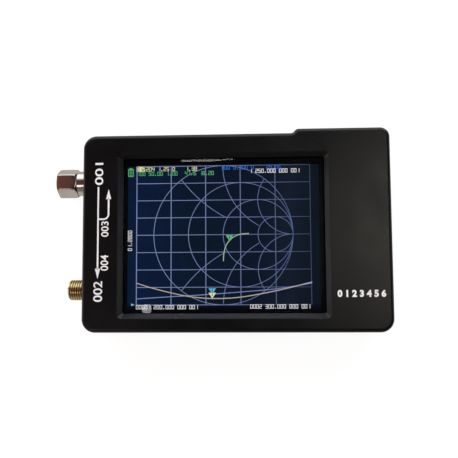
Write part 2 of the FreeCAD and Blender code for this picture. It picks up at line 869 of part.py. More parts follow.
# Where the pin ends and the resistor starts.
def resistor_front():
    return body_end + cap_end_thickness + resistor_length


def make_termination_pin():
    y, z = upper_socket_y, socket_z
    pin = rod_x(resistor_front(), joint_plane + pin_reach, y, z, pin_radius)
    tip = [e for e in pin.Edges if e.BoundBox.XMin > joint_plane + pin_reach - 0.01]
    return pin.makeChamfer(pin_taper, tip)


def make_termination_resistor():
    y, z = upper_socket_y, socket_z
    return rod_x(body_end + cap_end_thickness, resistor_front(), y, z, resistor_radius)


def make_lever_base():
    half = lever_base_length / 2
    base = box(lever_x - half, lever_x + half, lever_base_back, lever_base_front, lever_floor, board_bottom)
    pocket = box(lever_x - half + carriage_side - slide_gap, lever_x + half - carriage_side + slide_gap,
                 lever_base_back + lever_base_wall, lever_base_front + spare, lever_floor - spare,
                 lever_ceiling)
    return base.cut(pocket)


def make_lever_cover():
    half = lever_base_length / 2
    return box(lever_x - half, lever_x + half, lever_base_back, lever_base_front,
               lever_floor - plate_thickness, lever_floor)


# The sliding carriage, with a round seat for the lever's hub and a mouth that lets it swing.
def make_lever_carriage():
    half = lever_base_length / 2 - carriage_side
    back = lever_base_back + lever_base_wall + lever_push + push_spare
    carriage = box(lever_x - half, lever_x + half, back, carriage_front,
                   lever_floor + slide_gap, lever_ceiling - slide_gap)
    seat = rod_z(lever_x, hub_y, lever_floor - spare, lever_ceiling + spare, hub_radius + slide_gap)
    slope = math.tan(math.radians(lever_swing))
    near = arm_half_width + swing_gap
    far = near + (hub_from_front + spare) * slope
    low = lever_floor - spare
    ends = ((-near, hub_y), (near, hub_y), (far, carriage_front + spare), (-far, carriage_front + spare))
    corners = [V(lever_x + across, y, low) for across, y in ends]
    outline = Part.makePolygon(corners + corners[:1])
    mouth = Part.Face(outline).extrude(V(0, 0, lever_base_height + 2 * spare))
    return carriage.cut([seat, mouth])


def make_lever():
    low = lever_floor + hub_gap
    high = lever_ceiling - hub_gap
    hub = rod_z(lever_x, hub_y, low, high, hub_radius)
    arm = box(lever_x - arm_half_width, lever_x + arm_half_width, hub_y, lever_tip - pad_round, low, high)
    pad = box(lever_x - pad_half_width, lever_x + pad_half_width, lever_tip - pad_length, lever_tip,
              low, high)
    corners = [e for e in pad.Edges if e.BoundBox.ZLength > 0.5 * (high - low)]
    pad = pad.makeFillet(pad_round, corners)
    return hub.fuse([arm, pad]).removeSplitter()


def make_switch_base():
    half = switch_base_length / 2
    base = box(switch_x - half, switch_x + half, switch_back, switch_front, switch_floor, board_bottom)
    half_pocket = slider_half_length + switch_travel / 2 + 2 * slide_gap
    pocket = box(switch_x - half_pocket, switch_x + half_pocket, switch_back + switch_wall,
                 switch_front - switch_wall, switch_floor - spare, switch_ceiling)
    half_slot = switch_travel / 2 + stem_half_width + stem_slot_gap
    slot = box(switch_x - half_slot, switch_x + half_slot, switch_back + switch_wall, switch_front + spare,
               switch_z - stem_half_height - stem_slot_gap, switch_z + stem_half_height + stem_slot_gap)
    return base.cut([pocket, slot])


def make_switch_cover():
    half = switch_base_length / 2
    return box(switch_x - half, switch_x + half, switch_back, switch_front,
               switch_floor - plate_thickness, switch_floor)


# The knob is stored at the left end of its travel, which is off.
def make_switch_knob():
    x = switch_x - switch_travel / 2
    slider = box(x - slider_half_length, x + slider_half_length, switch_back + switch_wall + slide_gap,
                 switch_front - switch_wall - slide_gap, switch_floor + slide_gap,
                 switch_ceiling - slide_gap)
    tip = raised_top - switch_sunk
    stem = box(x - stem_half_width, x + stem_half_width, switch_back + switch_base_depth / 2, tip,
               switch_z - stem_half_height, switch_z + stem_half_height)
    return slider.fuse(stem).removeSplitter()


# The pouch cell, with rounded long edges and the folded flap that holds its terminals.
def make_battery_cell():
    z1 = cell_bottom_z + cell_thickness
    cell = rounded_block(cell_left, cell_right, -cell_width / 2, cell_width / 2, cell_bottom_z, z1,
                         cell_corner)
    rims = [e for e in cell.Edges if e.BoundBox.ZLength < 0.01]
    cell = cell.makeFillet(cell_round, rims)
    middle_z = (cell_bottom_z + z1) / 2
    half_flap = cell_width / 2 - cell_flap_inset
    flap = box(cell_right - 3 * root, cell_right + cell_flap_length, -half_flap, half_flap,
               middle_z - cell_flap_thickness / 2, middle_z + cell_flap_thickness / 2)
    return cell.fuse(flap)


def make_battery_tape():
    return box(cell_left + cell_tape_margin, cell_right - cell_tape_margin, -cell_tape_width / 2,
               cell_tape_width / 2, back_wall, cell_bottom_z)


# The board's battery header and the plug in it, which opens towards the cell.
def header_box():
    x = right_side - header_from_right
    y0 = bottom_side + header_from_bottom
    return x, y0, y0 + header_length


def make_battery_header():
    x, y0, y1 = header_box()
    header = box(x - header_width / 2, x + header_width / 2, y0, y1, board_bottom - header_height,
                 board_bottom)
    half = plug_width / 2 + slide_gap
    pocket = box(x - half, x + half, y1 - plug_in_header - slide_gap, y1 + spare,
                 plug_z() - plug_height / 2 - slide_gap, plug_z() + plug_height / 2 + slide_gap)
    return header.cut(pocket)


def plug_z():
    return board_bottom - header_height + header_floor + slide_gap + plug_height / 2


def make_battery_plug():
    x, y0, y1 = header_box()
    start = y1 - plug_in_header
    return box(x - plug_width / 2, x + plug_width / 2, start, start + plug_length,
               plug_z() - plug_height / 2, plug_z() + plug_height / 2)


# A round lead along straight runs that are joined by tangent arcs.
def lead_tube(points, radius):
    edges = []
    start = points[0]
    for before, corner, after in zip(points, points[1:], points[2:]):
        into = (corner - before).normalize()
        out = (after - corner).normalize()
        half_turn = into.getAngle(out) / 2
        shorter = min((corner - before).Length, (after - corner).Length)
        reach = lead_share_of_run * shorter
        bend = reach / math.tan(half_turn)
        first = corner - into * reach
        last = corner + out * reach
        centre = corner + (out - into).normalize() * (bend / math.cos(half_turn))
        middle = centre + (corner - centre).normalize() * bend
        edges.append(Part.LineSegment(start, first).toShape())
        edges.append(Part.Arc(first, middle, last).toShape())
        start = last
    edges.append(Part.LineSegment(start, points[-1]).toShape())
    path = Part.Wire(edges)
    ring = Part.Wire([Part.Circle(points[0], points[1] - points[0], radius).toShape()])
    return path.makePipeShell([ring], True, False)


# Side is 1 for the lead that lies on the outside of the bend and -1 for the other.
def battery_lead(side):
    x, y0, y1 = header_box()
    plug_back = y1 - plug_in_header + plug_length
    shift = side * lead_pitch / 2
    cell_z = cell_bottom_z + cell_thickness / 2
    start = V(cell_right + cell_flap_length, lead_start_y + shift, cell_z)
    corner = V(x + shift, start.y, cell_z)
    rise = V(x + shift, (start.y + plug_back) / 2 - lead_rise_shift, plug_z())
    return lead_tube([start, corner, rise, V(x + shift, plug_back, plug_z())], lead_radius)


def save(name, shape):
    kinds = "valid" if shape.isValid() else "NOT VALID"
    print(name, kinds, len(shape.Solids), "solids", round(shape.Volume, 3), "mm3")
    shape.exportStep("parts/" + name + ".step")


os.makedirs("parts", exist_ok=True)

pieces = {
    "front_shell": make_front_shell,
    "back_shell": make_back_shell,
    "case_screws": make_case_screws,
    "window_gasket": make_window_gasket,
    "touch_panel": make_touch_panel,
    "display_front_glass": make_display_front_glass,
    "display_rear_glass": make_display_rear_glass,
    "display_light_guide": make_display_light_guide,
    "display_tray": make_display_tray,
    "display_tape": make_display_tape,
    "display_ribbon": make_display_ribbon,
    "touch_ribbon": make_touch_ribbon,
    "main_board": make_main_board,
    "controller_chip": make_controller_chip,
    "clock_chip": make_clock_chip,
    "mixer_chips": make_mixer_chips,
    "sampling_chip": make_sampling_chip,
    "charger_chip": make_charger_chip,
    "crystals": make_crystals,
    "small_parts": make_small_parts,
    "status_lamps": make_status_lamps,
    "usb_shell": make_usb_shell,
    "usb_tongue": make_usb_tongue,
    "termination_nut": make_termination_nut,
    "termination_body": make_termination_body,
    "termination_ring": make_termination_ring,
    "termination_seal": make_termination_seal,
    "termination_insulator": make_termination_insulator,
    "termination_pin": make_termination_pin,
    "termination_resistor": make_termination_resistor,
    "lever_base": make_lever_base,
    "lever_cover": make_lever_cover,
    "lever_carriage": make_lever_carriage,
    "lever": make_lever,
    "switch_base": make_switch_base,
    "switch_cover": make_switch_cover,
    "switch_knob": make_switch_knob,
    "battery_cell": make_battery_cell,
    "battery_tape": make_battery_tape,
    "battery_header": make_battery_header,
    "battery_plug": make_battery_plug,
}

for name, make in pieces.items():
    save(name, make())

for number, y in ((1, upper_socket_y), (2, lower_socket_y)):
    save("socket_{}_body".format(number), socket_body(y))
    save("socket_{}_insulator".format(number), socket_insulator(y))
    save("socket_{}_contact".format(number), socket_contact(y))
    save("socket_{}_shield".format(number), shield_can(y))

for name, side in (("battery_lead_outer", 1), ("battery_lead_inner", -1)):
    save(name, battery_lead(side))
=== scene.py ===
import math
import bmesh
import bpy
from mathutils import Matrix, Vector


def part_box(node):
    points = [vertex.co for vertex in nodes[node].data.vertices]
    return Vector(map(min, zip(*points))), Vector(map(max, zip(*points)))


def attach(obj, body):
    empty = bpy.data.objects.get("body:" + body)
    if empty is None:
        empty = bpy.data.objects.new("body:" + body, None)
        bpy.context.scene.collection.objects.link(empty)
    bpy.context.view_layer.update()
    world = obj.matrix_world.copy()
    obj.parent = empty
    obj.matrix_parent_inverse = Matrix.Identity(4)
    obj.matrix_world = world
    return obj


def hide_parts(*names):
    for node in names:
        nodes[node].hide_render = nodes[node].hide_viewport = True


# An antenna analyzer lying on its back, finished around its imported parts.
# Everything is in metres, in the parts' own frame: +X right, +Y to the top edge, +Z out of the front.

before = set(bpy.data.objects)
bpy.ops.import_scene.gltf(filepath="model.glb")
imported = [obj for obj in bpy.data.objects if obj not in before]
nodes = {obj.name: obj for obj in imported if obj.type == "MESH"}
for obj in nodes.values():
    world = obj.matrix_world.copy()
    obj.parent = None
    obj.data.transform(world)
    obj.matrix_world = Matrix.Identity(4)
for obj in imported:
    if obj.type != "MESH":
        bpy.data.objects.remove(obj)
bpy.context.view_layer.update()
scene = bpy.context.scene
mm = 0.001
print("frame loaded:", len(nodes), "parts")


# Node and mesh helpers

class Term:
    # one output of a node, so that chains of Math nodes are written as plain formulas
    def __init__(self, tree, socket):
        self.tree = tree
        self.socket = socket

    def __getitem__(self, name):
        return Term(self.tree, self.socket.node.outputs[name])

    def do(self, operation, *others, clamp=False):
        return calc(self.tree, operation, self, *others, clamp=clamp)

    def __add__(self, other):
        return self.do("ADD", other)

    def __sub__(self, other):
        return self.do("SUBTRACT", other)

    def __rsub__(self, other):
        return calc(self.tree, "SUBTRACT", other, self)

    def __mul__(self, other):
        return self.do("MULTIPLY", other)

    def __truediv__(self, other):
        return self.do("DIVIDE", other)

    def __rtruediv__(self, other):
        return calc(self.tree, "DIVIDE", other, self)


def feed(inputs, values):
    # each named input from another node or from a plain value
    for name, value in values.items():
        if isinstance(value, Term):
            value.tree.links.new(value.socket, inputs[name])
        else:
            inputs[name].default_value = value


def addNode(tree, kind, inputs=None, **settings):
    node = tree.nodes.new(kind if "Node" in kind else "ShaderNode" + kind)
    for name, value in settings.items():
        setattr(node, name, value)
    feed(node.inputs, inputs or {})
    return Term(tree, node.outputs[0])


def calc(tree, operation, *values, clamp=False):
    return addNode(tree, "Math", dict(enumerate(values)), operation=operation, use_clamp=clamp)


def ramp(value, low, high, smooth=False):
    # from 0 at low to 1 at high, clamped
    return addNode(value.tree, "MapRange", {"Value": value, "From Min": low, "From Max": high},
                   interpolation_type="SMOOTHSTEP" if smooth else "LINEAR")


def rgba(colour):
    return colour if isinstance(colour, Term) else (*colour, 1.0)


def blendColours(share, first, second):
    inputs = {0: share, 6: rgba(first), 7: rgba(second)}
    return addNode(share.tree, "Mix", inputs, data_type="RGBA")[2]


def placeIn(tree, kind="Object"):
    return addNode(tree, "TexCoord")[kind]


def splitUp(vector):
    return addNode(vector.tree, "SeparateXYZ", {"Vector": vector})


def addNoise(where, size, **more):
    return addNode(where.tree, "TexNoise", {"Vector": where, "Scale": 1.0 / size, **more})


def startTree(name, kind, inputs, outputs):
    # each input has its default value, or the name of a socket type without one
    kinds = {float: "Float", int: "Int", tuple: "Vector"}
    tree = bpy.data.node_groups.new(name, kind)
    for label, value in inputs.items():
        socketType = "NodeSocket" + kinds.get(type(value), str(value))
        socket = tree.interface.new_socket(label, in_out="INPUT", socket_type=socketType)
        if not isinstance(value, str):
            socket.default_value = value
    for label, socketType in outputs.items():
        tree.interface.new_socket(label, in_out="OUTPUT", socket_type="NodeSocket" + socketType)
    given = Term(tree, tree.nodes.new("NodeGroupInput").outputs[0])
    return tree, given, tree.nodes.new("NodeGroupOutput").inputs


def endTree(given, result, geometry):
    # real geometry in the given material
    real = addNode(given.tree, "GeometryNodeRealizeInstances", {"Geometry": geometry})
    inputs = {"Geometry": real, "Material": given["Material"]}
    feed(result, {"Geometry": addNode(given.tree, "GeometryNodeSetMaterial", inputs)})


def startMaterial(name, inputs=None):
    material = bpy.data.materials.new(name)
    material.use_nodes = True
    tree = material.node_tree
    surface = tree.nodes["Principled BSDF"].inputs
    feed(surface, inputs or {})
    return material, tree, surface


def addPiece(name, data):
    piece = bpy.data.objects.new(name, data)
    scene.collection.objects.link(piece)
    return piece


def smoothShade(data, sharp):
    data.shade_smooth()
    data.set_sharp_from_angle(angle=math.radians(sharp))


def makeMesh(name, points, faces, material, sharp=32.0, recalculate=True):
    data = bpy.data.meshes.new(name)
    data.from_pydata([tuple(p) for p in points], [], faces)
    if recalculate:
        shape = bmesh.new()
        shape.from_mesh(data)
        bmesh.ops.remove_doubles(shape, verts=shape.verts, dist=1e-8)
        bmesh.ops.recalc_face_normals(shape, faces=shape.faces)
        shape.to_mesh(data)
        shape.free()
    smoothShade(data, sharp)
    data.materials.append(material)
    return addPiece(name, data)


def plainMesh(piece):
    # the evaluated shape as a plain mesh
    evaluated = piece.evaluated_get(bpy.context.evaluated_depsgraph_get())
    data = bpy.data.meshes.new_from_object(evaluated)
    data.name = piece.name
    return data


def bakeModifiers(piece):
    data = plainMesh(piece)
    for modifier in list(piece.modifiers):
        piece.modifiers.remove(modifier)
    piece.data = data
    return piece


def roundEdges(piece, width, segments=2, angle=40.0):
    modifier = piece.modifiers.new("edges", "BEVEL")
    modifier.width = width
    modifier.segments = segments
    modifier.limit_method = "ANGLE"
    modifier.angle_limit = math.radians(angle)
    modifier.harden_normals = True
    return bakeModifiers(piece)


def grow(tree, name, values, material, sharp=32.0):
    # runs a geometry tree on an empty mesh and keeps the result as a plain mesh
    piece = addPiece(name, bpy.data.meshes.new(name))
    modifier = piece.modifiers.new("tree", "NODES")
    modifier.node_group = tree
    values = {**values, "Material": material}
    for item in tree.interface.items_tree:
        if item.in_out == "INPUT" and item.name in values:
            modifier[item.identifier] = values[item.name]
    bakeModifiers(piece)
    smoothShade(piece.data, sharp)
    return piece


def place(piece, body, slot, *replaced):
    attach(piece, body)
    if replaced:
        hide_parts(*replaced)
    return piece


def centreOf(node):
    low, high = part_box(node)
    return (low + high) / 2


# Outline helpers: each adds closed solids to one list of points and one of faces

def addBox(shape, low, high):
    points, faces = shape
    start = len(points)
    for x in (low[0], high[0]):
        for y in (low[1], high[1]):
            for z in (low[2], high[2]):
                points.append((x, y, z))
    for face in ((0, 1, 3, 2), (4, 6, 7, 5), (0, 4, 5, 1), (2, 3, 7, 6), (0, 2, 6, 4), (1, 5, 7, 3)):
        faces.append([start + k for k in face])


def addPrism(shape, corners, low, high):
    points, faces = shape
    start, count = len(points), len(corners)
    points.extend((x, y, low) for x, y in corners)
    points.extend((x, y, high) for x, y in corners)
    faces.append([start + k for k in reversed(range(count))])
    faces.append([start + count + k for k in range(count)])
    for k in range(count):
        after = (k + 1) % count
        faces.append([start + k, start + after, start + count + after, start + count + k])


def addStrip(shape, path, width, low, high, closed=False):
    # a flat strip of even width along a path, with mitred corners
    points, faces = shape
    start, count = len(points), len(path)
    for k, here in enumerate(path):
        here = Vector(here)
        before = Vector(path[k - 1]) if closed or k else here
        after = Vector(path[(k + 1) % count]) if closed or k < count - 1 else here
        into, out = (here - before), (after - here)
        into = into.normalized() if into.length else out.normalized()
        out = out.normalized() if out.length else into
        along = (into + out).normalized()
        side = Vector((-along.y, along.x)) * (width / 2 / max(along.dot(out), 0.4))
        left, right = here + side, here - side
        points.extend([(*left, low), (*right, low), (*right, high), (*left, high)])
    for k in range(count if closed else count - 1):
        a, b = start + 4 * k, start + 4 * ((k + 1) % count)
        for edge in range(4):
            after = (edge + 1) % 4
            faces.append([a + edge, a + after, b + after, b + edge])
    if not closed:
        faces.append([start + k for k in range(4)])
        end = start + 4 * (count - 1)
        faces.append([end + k for k in reversed(range(4))])


def addTurned(shape, outline, centre, steps=48, loop=False, limit=None, sweep=(0.0, 360.0)):
    # outline of (along, radius) pairs turned about an axis that runs along X through centre
    points, faces = shape
    first, last = (math.radians(a) for a in sweep)
    whole = last - first > 2 * math.pi - 0.001
    count = steps if whole else steps + 1
    rings = []
    for along, radius in outline:
        ring = []
        for k in range(1 if radius == 0 else count):
            angle = first + (last - first) * k / steps
            reach = limit(radius, angle) if limit else radius
            ring.append(len(points))
            points.append((along, centre.y + reach * math.cos(angle), centre.z + reach * math.sin(angle)))
        rings.append(ring if radius else ring * count)
    pairs = list(zip(rings, rings[1:])) + ([(rings[-1], rings[0])] if loop else [])
    for near, far in pairs:
        for k in range(steps):
            after = (k + 1) % count
            corners = list(dict.fromkeys((near[k], near[after], far[after], far[k])))
            if len(corners) > 2:
                faces.append(corners)
    if not whole:
        faces.append([ring[0] for ring in rings])
        faces.append([ring[-1] for ring in reversed(rings)])


def arcPath(centre, radius, start, end, steps):
    turns = (math.radians(start + (end - start) * k / steps) for k in range(steps + 1))
    return [(centre[0] + radius * math.cos(a), centre[1] + radius * math.sin(a)) for a in turns]


def smoothPath(corners, steps=8):
    # a smooth curve through a few points
    path = []
    count = len(corners)
    for k in range(count - 1):
        p = [Vector(corners[min(max(k + j, 0), count - 1)]) for j in (-1, 0, 1, 2)]
        for step in range(steps):
            t = step / steps
            path.append(0.5 * (2 * p[1] + (p[2] - p[0]) * t + (2 * p[0] - 5 * p[1] + 4 * p[2] - p[3]) * t ** 2
                               + (3 * p[1] - p[0] - 3 * p[2] + p[3]) * t ** 3))
    path.append(Vector(corners[-1]))
    return [tuple(point) for point in path]


# Shader groups that more than one finish uses

def makeGrain():
    tree, given, result = startTree("surface grain", "ShaderNodeTree", {
        "Size": 0.0002, "Blotch": 0.01, "Stretch": (1.0, 1.0, 1.0)}, {"Height": "Float", "Shade": "Float"})
    where = placeIn(tree)
    stretched = addNode(tree, "VectorMath", {0: where, 1: given["Stretch"]}, operation="MULTIPLY")
    fine = addNoise(stretched, given["Size"], Detail=3.0, Roughness=0.6)
    broad = addNoise(where, given["Blotch"], Detail=2.0)
    feed(result, {"Height": fine, "Shade": ramp(broad, 0.3, 0.7)})
    return tree


def makeWear():
    tree, given, result = startTree("edge wear", "ShaderNodeTree", {
        "Radius": 0.0003, "Amount": 0.5, "Patch": 0.004}, {"Mask": "Float"})
    rounded = addNode(tree, "Bevel", {"Radius": given["Radius"]}, samples=4)
    flat = addNode(tree, "NewGeometry")["Normal"]
    facing = addNode(tree, "VectorMath", {0: rounded, 1: flat}, operation="DOT_PRODUCT")["Value"]
    edge = ramp(facing, 1.0, 0.85, smooth=True)
    broken = ramp(addNoise(placeIn(tree), given["Patch"], Detail=4.0), 0.42, 0.62)
    feed(result, {"Mask": (edge * broken).do("MULTIPLY", given["Amount"], clamp=True)})
    return tree


def makeHandling():
    tree, given, result = startTree("handling marks", "ShaderNodeTree", {
        "Size": 0.02, "Amount": 0.3}, {"Mask": "Float"})
    marks = addNoise(placeIn(tree), given["Size"], Detail=3.0, Distortion=0.8)
    mask = ramp(marks, 0.45, 0.7, smooth=True)
    feed(result, {"Mask": mask.do("MULTIPLY", given["Amount"], clamp=True)})
    return tree


def makeDust():
    tree, given, result = startTree("dust specks", "ShaderNodeTree", {
        "Spacing": 0.002, "Speck": 0.04, "Share": 0.25}, {"Mask": "Float"})
    cells = addNode(tree, "TexVoronoi", {"Vector": placeIn(tree), "Scale": 1.0 / given["Spacing"]})
    near = cells["Distance"].do("LESS_THAN", given["Speck"])
    picked = addNode(tree, "SeparateColor", {"Color": cells["Color"]})["Red"]
    chosen = picked.do("LESS_THAN", given["Share"])
    up = splitUp(addNode(tree, "NewGeometry")["Normal"])["Z"]
    feed(result, {"Mask": near * chosen * ramp(up, 0.5, 0.9)})
    return tree


grainTree, wearTree, handlingTree, dustTree = makeGrain(), makeWear(), makeHandling(), makeDust()


def addGroup(tree, group, **inputs):
    node = tree.nodes.new("ShaderNodeGroup")
    node.node_tree = group
    feed(node.inputs, inputs)
    return Term(tree, node.outputs[0])


# Finishes: colour and worn colour, roughness, and the sizes of grain, wear, marks and dust in metres, and how
# far the painted shade and grime in hollows reach.
# The lamp resin is a clear dome over a dim coloured die.
usualFinish = dict(
    metal=0.0, shine=0.5, grain=0.0001, depth=3e-6, wear=0.0001, wearAmount=0.3, marks=0.1,
    stretch=(1.0, 1.0, 1.0))
finishes = dict(
    case_plastic=dict(colour=(0.0012, 0.0018, 0.0023), worn=(0.020, 0.020, 0.021), rough=0.30, shine=0.4,
        grain=0.00016, depth=5e-6, wear=0.00025, wearAmount=0.4, marks=0.03, dust=0.3),
    black_plastic=dict(colour=(0.006, 0.006, 0.006), worn=(0.04, 0.04, 0.04), rough=0.38, wearAmount=0.4),
    nickel_plate=dict(colour=(0.60, 0.56, 0.51), worn=(0.72, 0.69, 0.64), rough=0.17, metal=1.0,
        grain=0.00022, depth=7e-7, wear=0.00012, wearAmount=0.6, stretch=(6.0, 1.0, 1.0)),
    gold_plate=dict(colour=(0.90, 0.73, 0.40), worn=(0.95, 0.84, 0.56), rough=0.20, metal=1.0,
        grain=0.00014, depth=6e-7, wear=0.00006, wearAmount=0.6, grime=0.0005),
    screw_steel=dict(colour=(0.30, 0.30, 0.31), worn=(0.55, 0.55, 0.56), rough=0.30, metal=1.0,
        grain=0.00008, depth=1e-6, wear=0.00008, wearAmount=0.7, marks=0.12),
    shield_steel=dict(colour=(0.58, 0.58, 0.58), worn=(0.70, 0.70, 0.70), rough=0.28, metal=1.0,
        grain=0.0002, depth=1e-6, wearAmount=0.5, marks=0.15, stretch=(1.0, 8.0, 1.0)),
    white_insulator=dict(colour=(0.78, 0.78, 0.75), worn=(0.70, 0.69, 0.66), rough=0.40, depth=1e-6,
        wear=0.00008, wearAmount=0.4, marks=0.05),
    white_plastic=dict(colour=(0.74, 0.74, 0.72), worn=(0.66, 0.66, 0.64), rough=0.42, grain=0.00015,
        depth=2e-6, marks=0.08),
    light_guide_plastic=dict(colour=(0.80, 0.82, 0.84), worn=(0.70, 0.72, 0.74), rough=0.22, grain=0.0003,
        depth=1e-6, wearAmount=0.2, marks=0.05),
    foam=dict(colour=(0.012, 0.012, 0.012), worn=(0.03, 0.03, 0.03), rough=0.9, grain=0.00012, depth=3e-5),
    ribbon_film=dict(colour=(0.55, 0.22, 0.04), worn=(0.62, 0.30, 0.08), rough=0.32, grain=0.0004,
        depth=2e-6, stretch=(1.0, 9.0, 1.0)),
    board_laminate=dict(colour=(0.010, 0.085, 0.030), worn=(0.30, 0.24, 0.12), rough=0.33, grain=0.0005,
        depth=4e-6, wear=0.00015, wearAmount=0.6),
    chip_resin=dict(colour=(0.012, 0.012, 0.013), worn=(0.035, 0.035, 0.035), rough=0.55, grain=0.00008,
        wear=0.00008, wearAmount=0.4),
    chip_ceramic=dict(colour=(0.42, 0.30, 0.20), worn=(0.55, 0.52, 0.48), rough=0.5, depth=2e-6,
        wear=0.00008, wearAmount=0.6),
    cell_foil=dict(colour=(0.55, 0.56, 0.57), worn=(0.68, 0.68, 0.68), rough=0.34, metal=0.9, grain=0.0012,
        depth=2e-5, wear=0.0002, wearAmount=0.4, marks=0.25),
    cell_tape=dict(colour=(0.62, 0.42, 0.06), worn=(0.70, 0.52, 0.14), rough=0.36, grain=0.0004),
    red_wire=dict(colour=(0.42, 0.010, 0.008), worn=(0.50, 0.04, 0.03), rough=0.35, grain=0.0002,
        wearAmount=0.2),
    black_wire=dict(colour=(0.010, 0.010, 0.010), worn=(0.04, 0.04, 0.04), rough=0.35, grain=0.0002,
        wearAmount=0.2),
    red_seal=dict(colour=(0.34, 0.020, 0.010), worn=(0.42, 0.05, 0.03), rough=0.55, wearAmount=0.2),
    white_print=dict(colour=(0.86, 0.86, 0.86), worn=(0.60, 0.60, 0.60), rough=0.5, depth=2e-6,
        wear=0.00004, marks=0.05),
    window_mask=dict(colour=(0.0022, 0.0024, 0.0032), worn=(0.006, 0.006, 0.008), rough=0.35, shine=0.1,
        grain=0.0002, depth=1e-6, wear=0.00004, wearAmount=0.2, marks=0.05),
    lamp_resin=dict(colour=(0.70, 0.72, 0.66), worn=(0.70, 0.72, 0.66), rough=0.25, depth=1e-6,
        wearAmount=0.1, marks=0.05, glow=(0.05, 0.25, 0.06), strength=0.4),
)
# Colours of dust, and of grime mixed with painted shade that darkens hollows
dirtAndShade = dict(dust=(0.2, 0.2, 0.19), grime=(0.10, 0.07, 0.03))


def makeFinish(name, look):
    look = {**usualFinish, **look}
    material, tree, surface = startMaterial(name)
    grain = addGroup(tree, grainTree, Size=look["grain"], Blotch=look["grain"] * 60, Stretch=look["stretch"])
    wear = addGroup(tree, wearTree, Radius=look["wear"], Amount=look["wearAmount"])
    marks = addGroup(tree, handlingTree, Amount=look["marks"])
    shades = [tuple(c * share for c in look["colour"]) for share in (0.9, 1.1)]
    colour = blendColours(wear, blendColours(grain["Shade"], *shades), look["worn"])
    if "dust" in look:
        dust = addGroup(tree, dustTree, Spacing=0.004, Speck=0.02)
        colour = blendColours(dust * look["dust"], colour, dirtAndShade["dust"])
    # Painted shade with grime: the colour darkens wherever ambient occlusion finds a hollow, such as the
    # thread roots
    if "grime" in look:
        hollowShade = addNode(tree, "AmbientOcclusion", {"Distance": look["grime"]}, samples=6,
                         only_local=True)["AO"]
        colour = blendColours(ramp(hollowShade, 0.9, 0.4), colour, dirtAndShade["grime"])
    if "glow" in look:
        feed(surface, {"Emission Color": rgba(look["glow"]), "Emission Strength": look["strength"]})
    uneven = grain["Shade"].do("MULTIPLY_ADD", 0.06, look["rough"] - 0.03)
    rounded = addNode(tree, "Bevel", {"Radius": look["wear"]}, samples=4)
    bump = addNode(tree, "Bump", {"Height": grain["Height"], "Distance": look["depth"],
                                            "Normal": rounded})
    feed(surface, {"Base Color": colour, "Roughness": uneven + marks, "Metallic": look["metal"],
                   "Specular IOR Level": look["shine"], "Normal": bump})
    return material


finish = {name: makeFinish(name, look) for name, look in finishes.items()}


# Clear glass of the touch panel, and the darker glass of the display behind it
glassLooks = dict(
    touch_glass=dict(colour=(0.97, 0.98, 1.0), rough=0.0, index=1.5),
    display_glass=dict(colour=(0.30, 0.32, 0.36), rough=0.02, index=1.5),
)


def makeGlass(name, look):
    material, tree, surface = startMaterial(name, {"Transmission Weight": 1.0, "IOR": look["index"]})
    marks = addGroup(tree, handlingTree, Size=0.012, Amount=0.02)
    grain = addGroup(tree, grainTree, Size=0.002, Blotch=0.03)
    pale = tuple(c * 0.98 for c in look["colour"])
    feed(surface, {"Base Color": blendColours(grain["Shade"], pale, look["colour"]),
                   "Roughness": marks + look["rough"]})
    return material


for name, look in glassLooks.items():
    finish[name] = makeGlass(name, look)

for name, node in nodes.items():
    for slot in node.material_slots:
        slot.material = finish[slot.material.name.split(".")[0]]
print("finishes made:", len(finish))


# Light: pale all round, dark overhead where the photographer stood, brown towards the left and grey near
# the viewer's side, a broad lamp beyond the right side, one low at the left for the metal, a soft one
# above, and two small lamps that the glass mirrors
surroundings = dict(
    pale=(0.96, 0.97, 1.02), dark=(0.009, 0.010, 0.013), brown=(0.125, 0.048, 0.034),
    grey=(0.13, 0.125, 0.12), strength=1.9, left=(-1.02, -0.88), right=(1.05, 0.93), high=(0.77, 0.40),
    greyFrom=(-0.68, -0.78), brownFrom=(-0.28, -0.33))
lamps = dict(
    rightLamp=dict(spot=(0.279, 0.054, 0.78), size=(0.24, 0.30), radiance=2.85, colour=(1.0, 0.90, 0.79)),
    topLamp=dict(spot=(-0.0545, 0.1431, 0.616), size=(0.082, 0.0045), turn=1.6, radiance=2.5,
        colour=(0.98, 0.99, 1.0)),
    leftLamp=dict(spot=(-0.1418, -0.0627, 0.616), size=(0.0135, 0.0135), radiance=3.0,
        colour=(1.0, 0.99, 0.96)),
    lowLamp=dict(spot=(-0.30, -0.32, 0.62), size=(0.16, 0.26), radiance=2.4, colour=(1.0, 0.97, 1.0)),
    fillLamp=dict(spot=(0.0, -0.05, 0.9), size=(0.6, 0.6), radiance=5.0, colour=(1.0, 0.99, 0.98),
        mirrored=False),
)


def lightWorld(look):
    world = bpy.data.worlds.new("surroundings")
    scene.world = world
    world.use_nodes = True
    tree = world.node_tree
    background = tree.nodes["Background"]
    parts = splitUp(placeIn(tree, "Generated"))
    covered = parts["Z"].do("GREATER_THAN", 0.0)
    for axis, side in (("X", "left"), ("X", "right"), ("Y", "high")):
        covered = covered * ramp(parts[axis], *look[side], smooth=True)
    overhead = blendColours(ramp(parts["X"], *look["brownFrom"], smooth=True), look["dark"], look["brown"])
    overhead = blendColours(ramp(parts["Y"], *look["greyFrom"], smooth=True), overhead, look["grey"])
    room = blendColours(covered, look["pale"], overhead)
    feed(background.inputs, {"Color": room, "Strength": look["strength"]})
    seen = addNode(tree, "LightPath")["Is Camera Ray"]
    white = addNode(tree, "Background", {"Color": (1.0, 1.0, 1.0, 1.0), "Strength": 1.0})
    mixed = addNode(tree, "MixShader", {0: seen, 1: Term(tree, background.outputs[0]), 2: white})
    feed(tree.nodes["World Output"].inputs, {"Surface": mixed})


